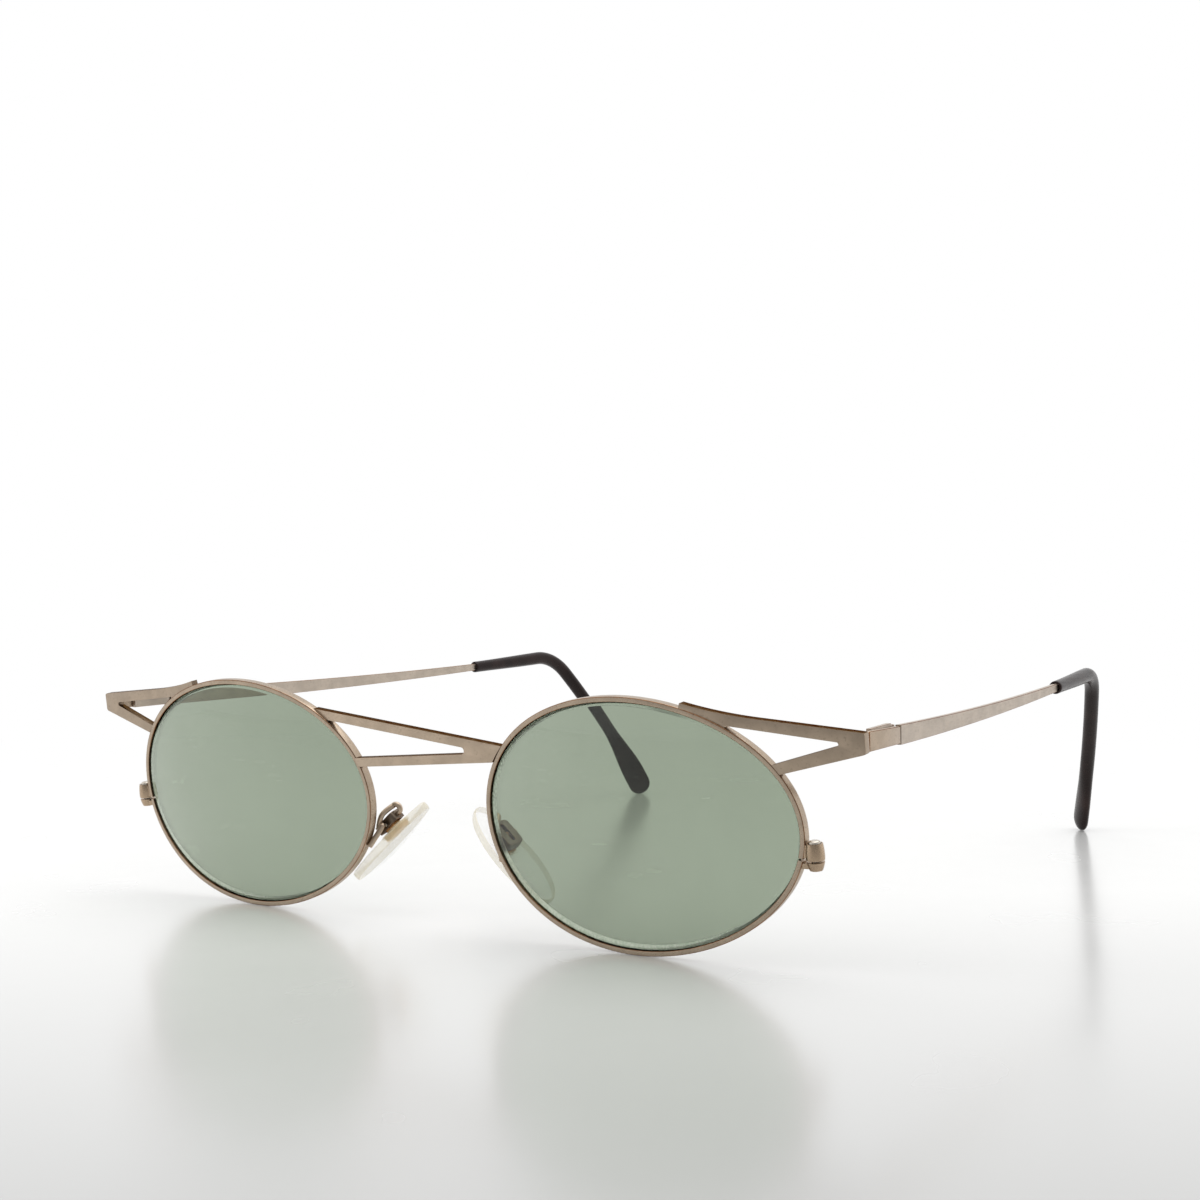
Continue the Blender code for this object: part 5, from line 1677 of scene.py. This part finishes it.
def pad_box():
    """A cup, open towards the pad, with a slot in its floor and the screw's holes."""
    place = pad_frame()
    top, both = AXIS_BELOW_BOX_EDGE, 2 * BOX_WALL
    floor = top - BOX_DEPTH
    outer = rounded_rectangle(BOX_LENGTH, BOX_WIDTH, BOX_CORNER)
    inner = rounded_rectangle(BOX_LENGTH - both, BOX_WIDTH - both, BOX_CORNER - BOX_WALL / 2)
    slot = rounded_rectangle(BOX_SLOT_LENGTH, BOX_SLOT_WIDTH, BOX_SLOT_CORNER)
    body = solid("pad_box", slab(outer, floor, top), place)
    hollow = solid("hollow", slab(inner, floor + BOX_FLOOR, top + BOX_FLOOR), place)
    window = solid("window", slab(slot, floor - BOX_FLOOR, floor + 2 * BOX_FLOOR), place)
    return cut(body, hollow, window, pad_screw_hole())


def pad_insert():
    """The pad's core: a foot plate set in the pad and a stem that the pad screw runs through."""
    place, edge = pad_frame(), AXIS_BELOW_BOX_EDGE
    foot_top = edge + BOX_PAD_GAP + INSERT_FIT / 2
    inside = foot_top + INSERT_THICKNESS / 2
    outline = arc(Vector((0, 0)), STEM_RADIUS, math.pi, 2 * math.pi, TURN_STEPS // 2)
    outline += [Vector((STEM_ROOT, edge)), Vector((STEM_ROOT, inside))]
    outline += [Vector((-STEM_ROOT, inside)), Vector((-STEM_ROOT, edge))]
    body = solid("pad_insert", prism(outline, flat, -STEM_WIDTH / 2, STEM_WIDTH / 2), place)
    plate = rounded_rectangle(INSERT_LENGTH, INSERT_WIDTH, BOX_CORNER)
    join(body, solid("foot", slab(plate, foot_top, foot_top + INSERT_THICKNESS), place))
    return cut(body, pad_screw_hole())


def pad_ring(inset, height, share=1.0):
    """A ring of the pad, at a share of the way from its middle to its outline."""
    points = [outline_point(pad_curve, angle, -inset) for angle in even_angles(PAD_STEPS)]
    return [Vector((p.x * share, p.y * share, height)) for p in points]


def nose_pad():
    """A soft oval pad, round-edged and crowned towards the nose, with a pocket for its core."""
    back, edge = pad_back(), pad_back() + PAD_EDGE
    rings = [[Vector((0, 0, back))]]
    for turn in map(math.radians, range(0, 91, PAD_ROUND_STEP)):
        height = back + PAD_ROUND * (1 - math.cos(turn))
        rings.append(pad_ring(PAD_ROUND * (1 - math.sin(turn)), height))
    rings.append(pad_ring(0, edge - PAD_ROUND))
    for share in [math.cos(math.pi / 2 / CROWN_RINGS * i) for i in range(2, CROWN_RINGS)]:
        rings.append(pad_ring(0, edge + PAD_CROWN * (1 - share**2), share))
    rings.append([Vector((0, 0, edge + PAD_CROWN))])
    place = pad_frame()
    body = solid("nose_pad", skin(rings), place @ moved(PAD_STEM_ABOVE_CENTRE, 0, 0))
    boss_top = back - PAD_BOSS_HEIGHT
    boss = rounded_rectangle(PAD_BOSS_LENGTH, PAD_BOSS_WIDTH, PAD_BOSS_CORNER)
    join(body, solid("boss", slab(boss, boss_top, back + PAD_EDGE / 2), place))
    fit = 2 * INSERT_FIT
    pocket = rounded_rectangle(INSERT_LENGTH + fit, INSERT_WIDTH + fit, BOX_CORNER)
    top = boss_top + INSERT_FIT / 2 + INSERT_THICKNESS + INSERT_FIT
    cut(body, solid("pocket", slab(pocket, boss_top - PAD_EDGE, top), place))
    return dressed(cleaned(body), place, ("pad_silicone", "pad_rim"), pad_finish)


def pad_finish(direction, middle, index):
    """The pad's faces are clear, and its edge is milky."""
    return 1 if abs(direction.z) < FACING else 0


class SUNGLASSES_OT_pad_carriers(bpy.types.Operator):
    """Bend the pad arms and cut the pad boxes."""

    bl_idname = "sunglasses.pad_carriers"
    bl_label = "Pad Arms and Boxes"

    def execute(self, context):
        pair(pad_arm(), "pad_arm", "front")
        cup = bevelled(pad_box(), sizes().edge_round / 2)
        # The boxes get the bronze painted dark as painted shade.
        dressed(cup, pad_frame(), ("bronze_dark", "rubbed_edge"))
        pair(cup, "pad_box", "front")
        return {"FINISHED"}


class SUNGLASSES_OT_nose_pads(bpy.types.Operator):
    """Mould the nose pads round their cores."""

    bl_idname = "sunglasses.nose_pads"
    bl_label = "Nose Pads"

    def execute(self, context):
        core = bevelled(pad_insert(), sizes().edge_round / 2)
        pair(dressed(core, pad_frame(), ("pad_amber",)), "pad_insert", "pad")
        pair(nose_pad(), "nose_pad", "pad")
        return {"FINISHED"}


# Stage


def table_finish():
    """A pale glossy top, painted darker towards the viewer as painted shade, that fades into the
    white background away from the object.
    """
    finish = Finish("table_top")
    forward = finish.forward(finish.place())
    behind = finish.span(forward, -0.03, -0.2, kind="SMOOTHSTEP")
    ahead = finish.rays("Camera") * finish.span(forward, 0.26, 0.6)
    haze = finish.noise(40.0, 3.0)
    finish.shader(
        # Painted shade: the colour darkens to half towards the viewer.
        Base_Color=finish.tones(finish.span(forward, 0.03, 0.2), colours().table, 1.0, 0.5),
        Roughness=finish.span(haze, 0.3, 0.7, 0.22, 0.28),
        Coat_Weight=0.8,
        Coat_Roughness=0.2,
    )
    white = finish.node("ShaderNodeEmission", {"Color": (1, 1, 1, 1), "Strength": 1.0})
    top = Wire(finish, finish.surface.outputs[0])
    fade = behind.math("MAXIMUM", behind, ahead)
    mixed = finish.node("ShaderNodeMixShader", {0: fade, 1: top, 2: white})
    finish.feed(finish.nodes.nodes["Material Output"], {"Surface": mixed})
    return finish.material


def lamp(name, place, width, height, power, mirrored_in_gloss):
    """A rectangular lamp that shines at the object."""
    data = bpy.data.lights.new(name, "AREA")
    data.shape = "RECTANGLE"
    data.size, data.size_y = width, height
    data.energy = power
    made = bpy.data.objects.new(name, data)
    bpy.context.scene.collection.objects.link(made)
    made.location = place
    made.rotation_euler = (-Vector(place)).to_track_quat("-Z", "Y").to_euler()
    made.visible_glossy = mirrored_in_gloss


def studio_world():
    """White for the camera and through glass, dimmed in gloss, and soft light for the rest."""
    world = bpy.data.worlds.new("studio")
    bpy.context.scene.world = world
    world.use_nodes = True
    tree = Tree(world.node_tree)
    forward = tree.forward(tree.node("ShaderNodeTexCoord", output="Generated"))
    dim = tree.span(forward, 0.0, 0.95, kind="SMOOTHSTEP")
    seen = tree.rays("Camera")
    for other in (tree.rays("Transmission"), tree.rays("Glossy") * (1 - WORLD_DIMMING * dim)):
        seen = seen.math("MAXIMUM", seen, other)
    unlit = 1 - seen.math("CEIL", seen, 0.0)
    background = world.node_tree.nodes["Background"]
    tree.feed(background, {"Color": (1, 1, 1, 1), "Strength": seen + WORLD_LIGHT * unlit})


def set_camera():
    """The camera stands where the photograph was taken from."""
    data = bpy.data.cameras.new("camera")
    data.lens = CAMERA_LENS
    data.sensor_width = CAMERA_SENSOR
    data.sensor_fit = "HORIZONTAL"
    data.clip_start = CAMERA_NEAR
    made = bpy.data.objects.new("camera", data)
    bpy.context.scene.collection.objects.link(made)
    turn = Matrix.Identity(4)
    for angle, axis in CAMERA_TURNS:
        turn = turn @ spun(angle, axis)
    made.matrix_world = moved(*CAMERA_PLACE) @ turn
    bpy.context.scene.camera = made


def table():
    """A round table top, with a finer middle."""
    mesh = bmesh.new()
    angles = even_angles(TABLE_SIDES)
    rows = []
    for radius in TABLE_RADII:
        spots = [(radius * math.cos(a), radius * math.sin(a), -TABLE_DROP) for a in angles]
        rows.append([mesh.verts.new(spot) for spot in spots])
    mesh.faces.new(rows[0])
    for i in range(TABLE_SIDES):
        j = (i + 1) % TABLE_SIDES
        mesh.faces.new((rows[0][i], rows[1][i], rows[1][j], rows[0][j]))
    return solid("table", mesh)


class SUNGLASSES_OT_stage(bpy.types.Operator):
    """Set up the table, the light and the camera."""

    bl_idname = "sunglasses.stage"
    bl_label = "Stage"

    def execute(self, context):
        top = table()
        top.data.materials.append(table_finish())
        studio_world()
        for settings in LAMPS:
            lamp(*settings)
        set_camera()
        context.scene.view_settings.view_transform = "Standard"
        return {"FINISHED"}


PIECE_OPERATORS = (
    SUNGLASSES_OT_rims,
    SUNGLASSES_OT_lenses,
    SUNGLASSES_OT_bridge,
    SUNGLASSES_OT_endpieces,
    SUNGLASSES_OT_barrels,
    SUNGLASSES_OT_screws,
    SUNGLASSES_OT_hinges,
    SUNGLASSES_OT_temples,
    SUNGLASSES_OT_pad_carriers,
    SUNGLASSES_OT_nose_pads,
    SUNGLASSES_OT_stage,
)


class SUNGLASSES_PT_panel(bpy.types.Panel):
    """Sizes, colours and building steps of the sunglasses."""

    bl_idname = "SUNGLASSES_PT_panel"
    bl_label = "Sunglasses"
    bl_space_type = "VIEW_3D"
    bl_region_type = "UI"
    bl_category = "Sunglasses"

    def draw(self, context):
        for group in (context.scene.sunglasses_sizes, context.scene.sunglasses_colours):
            column = self.layout.column()
            for name in group.__annotations__:
                column.prop(group, name)
        column = self.layout.column()
        for operator in PIECE_OPERATORS:
            column.operator(operator.bl_idname)


CLASSES = (SunglassesSizes, SunglassesColours, *PIECE_OPERATORS, SUNGLASSES_PT_panel)


def register():
    for made in CLASSES:
        bpy.utils.register_class(made)
    bpy.types.Scene.sunglasses_sizes = bpy.props.PointerProperty(type=SunglassesSizes)
    bpy.types.Scene.sunglasses_colours = bpy.props.PointerProperty(type=SunglassesColours)


def unregister():
    del bpy.types.Scene.sunglasses_colours
    del bpy.types.Scene.sunglasses_sizes
    for made in reversed(CLASSES):
        bpy.utils.unregister_class(made)


def main():
    register()
    for step in PIECE_OPERATORS:
        group, name = step.bl_idname.split(".")
        getattr(getattr(bpy.ops, group), name)()


if __name__ == "__main__":
    main()
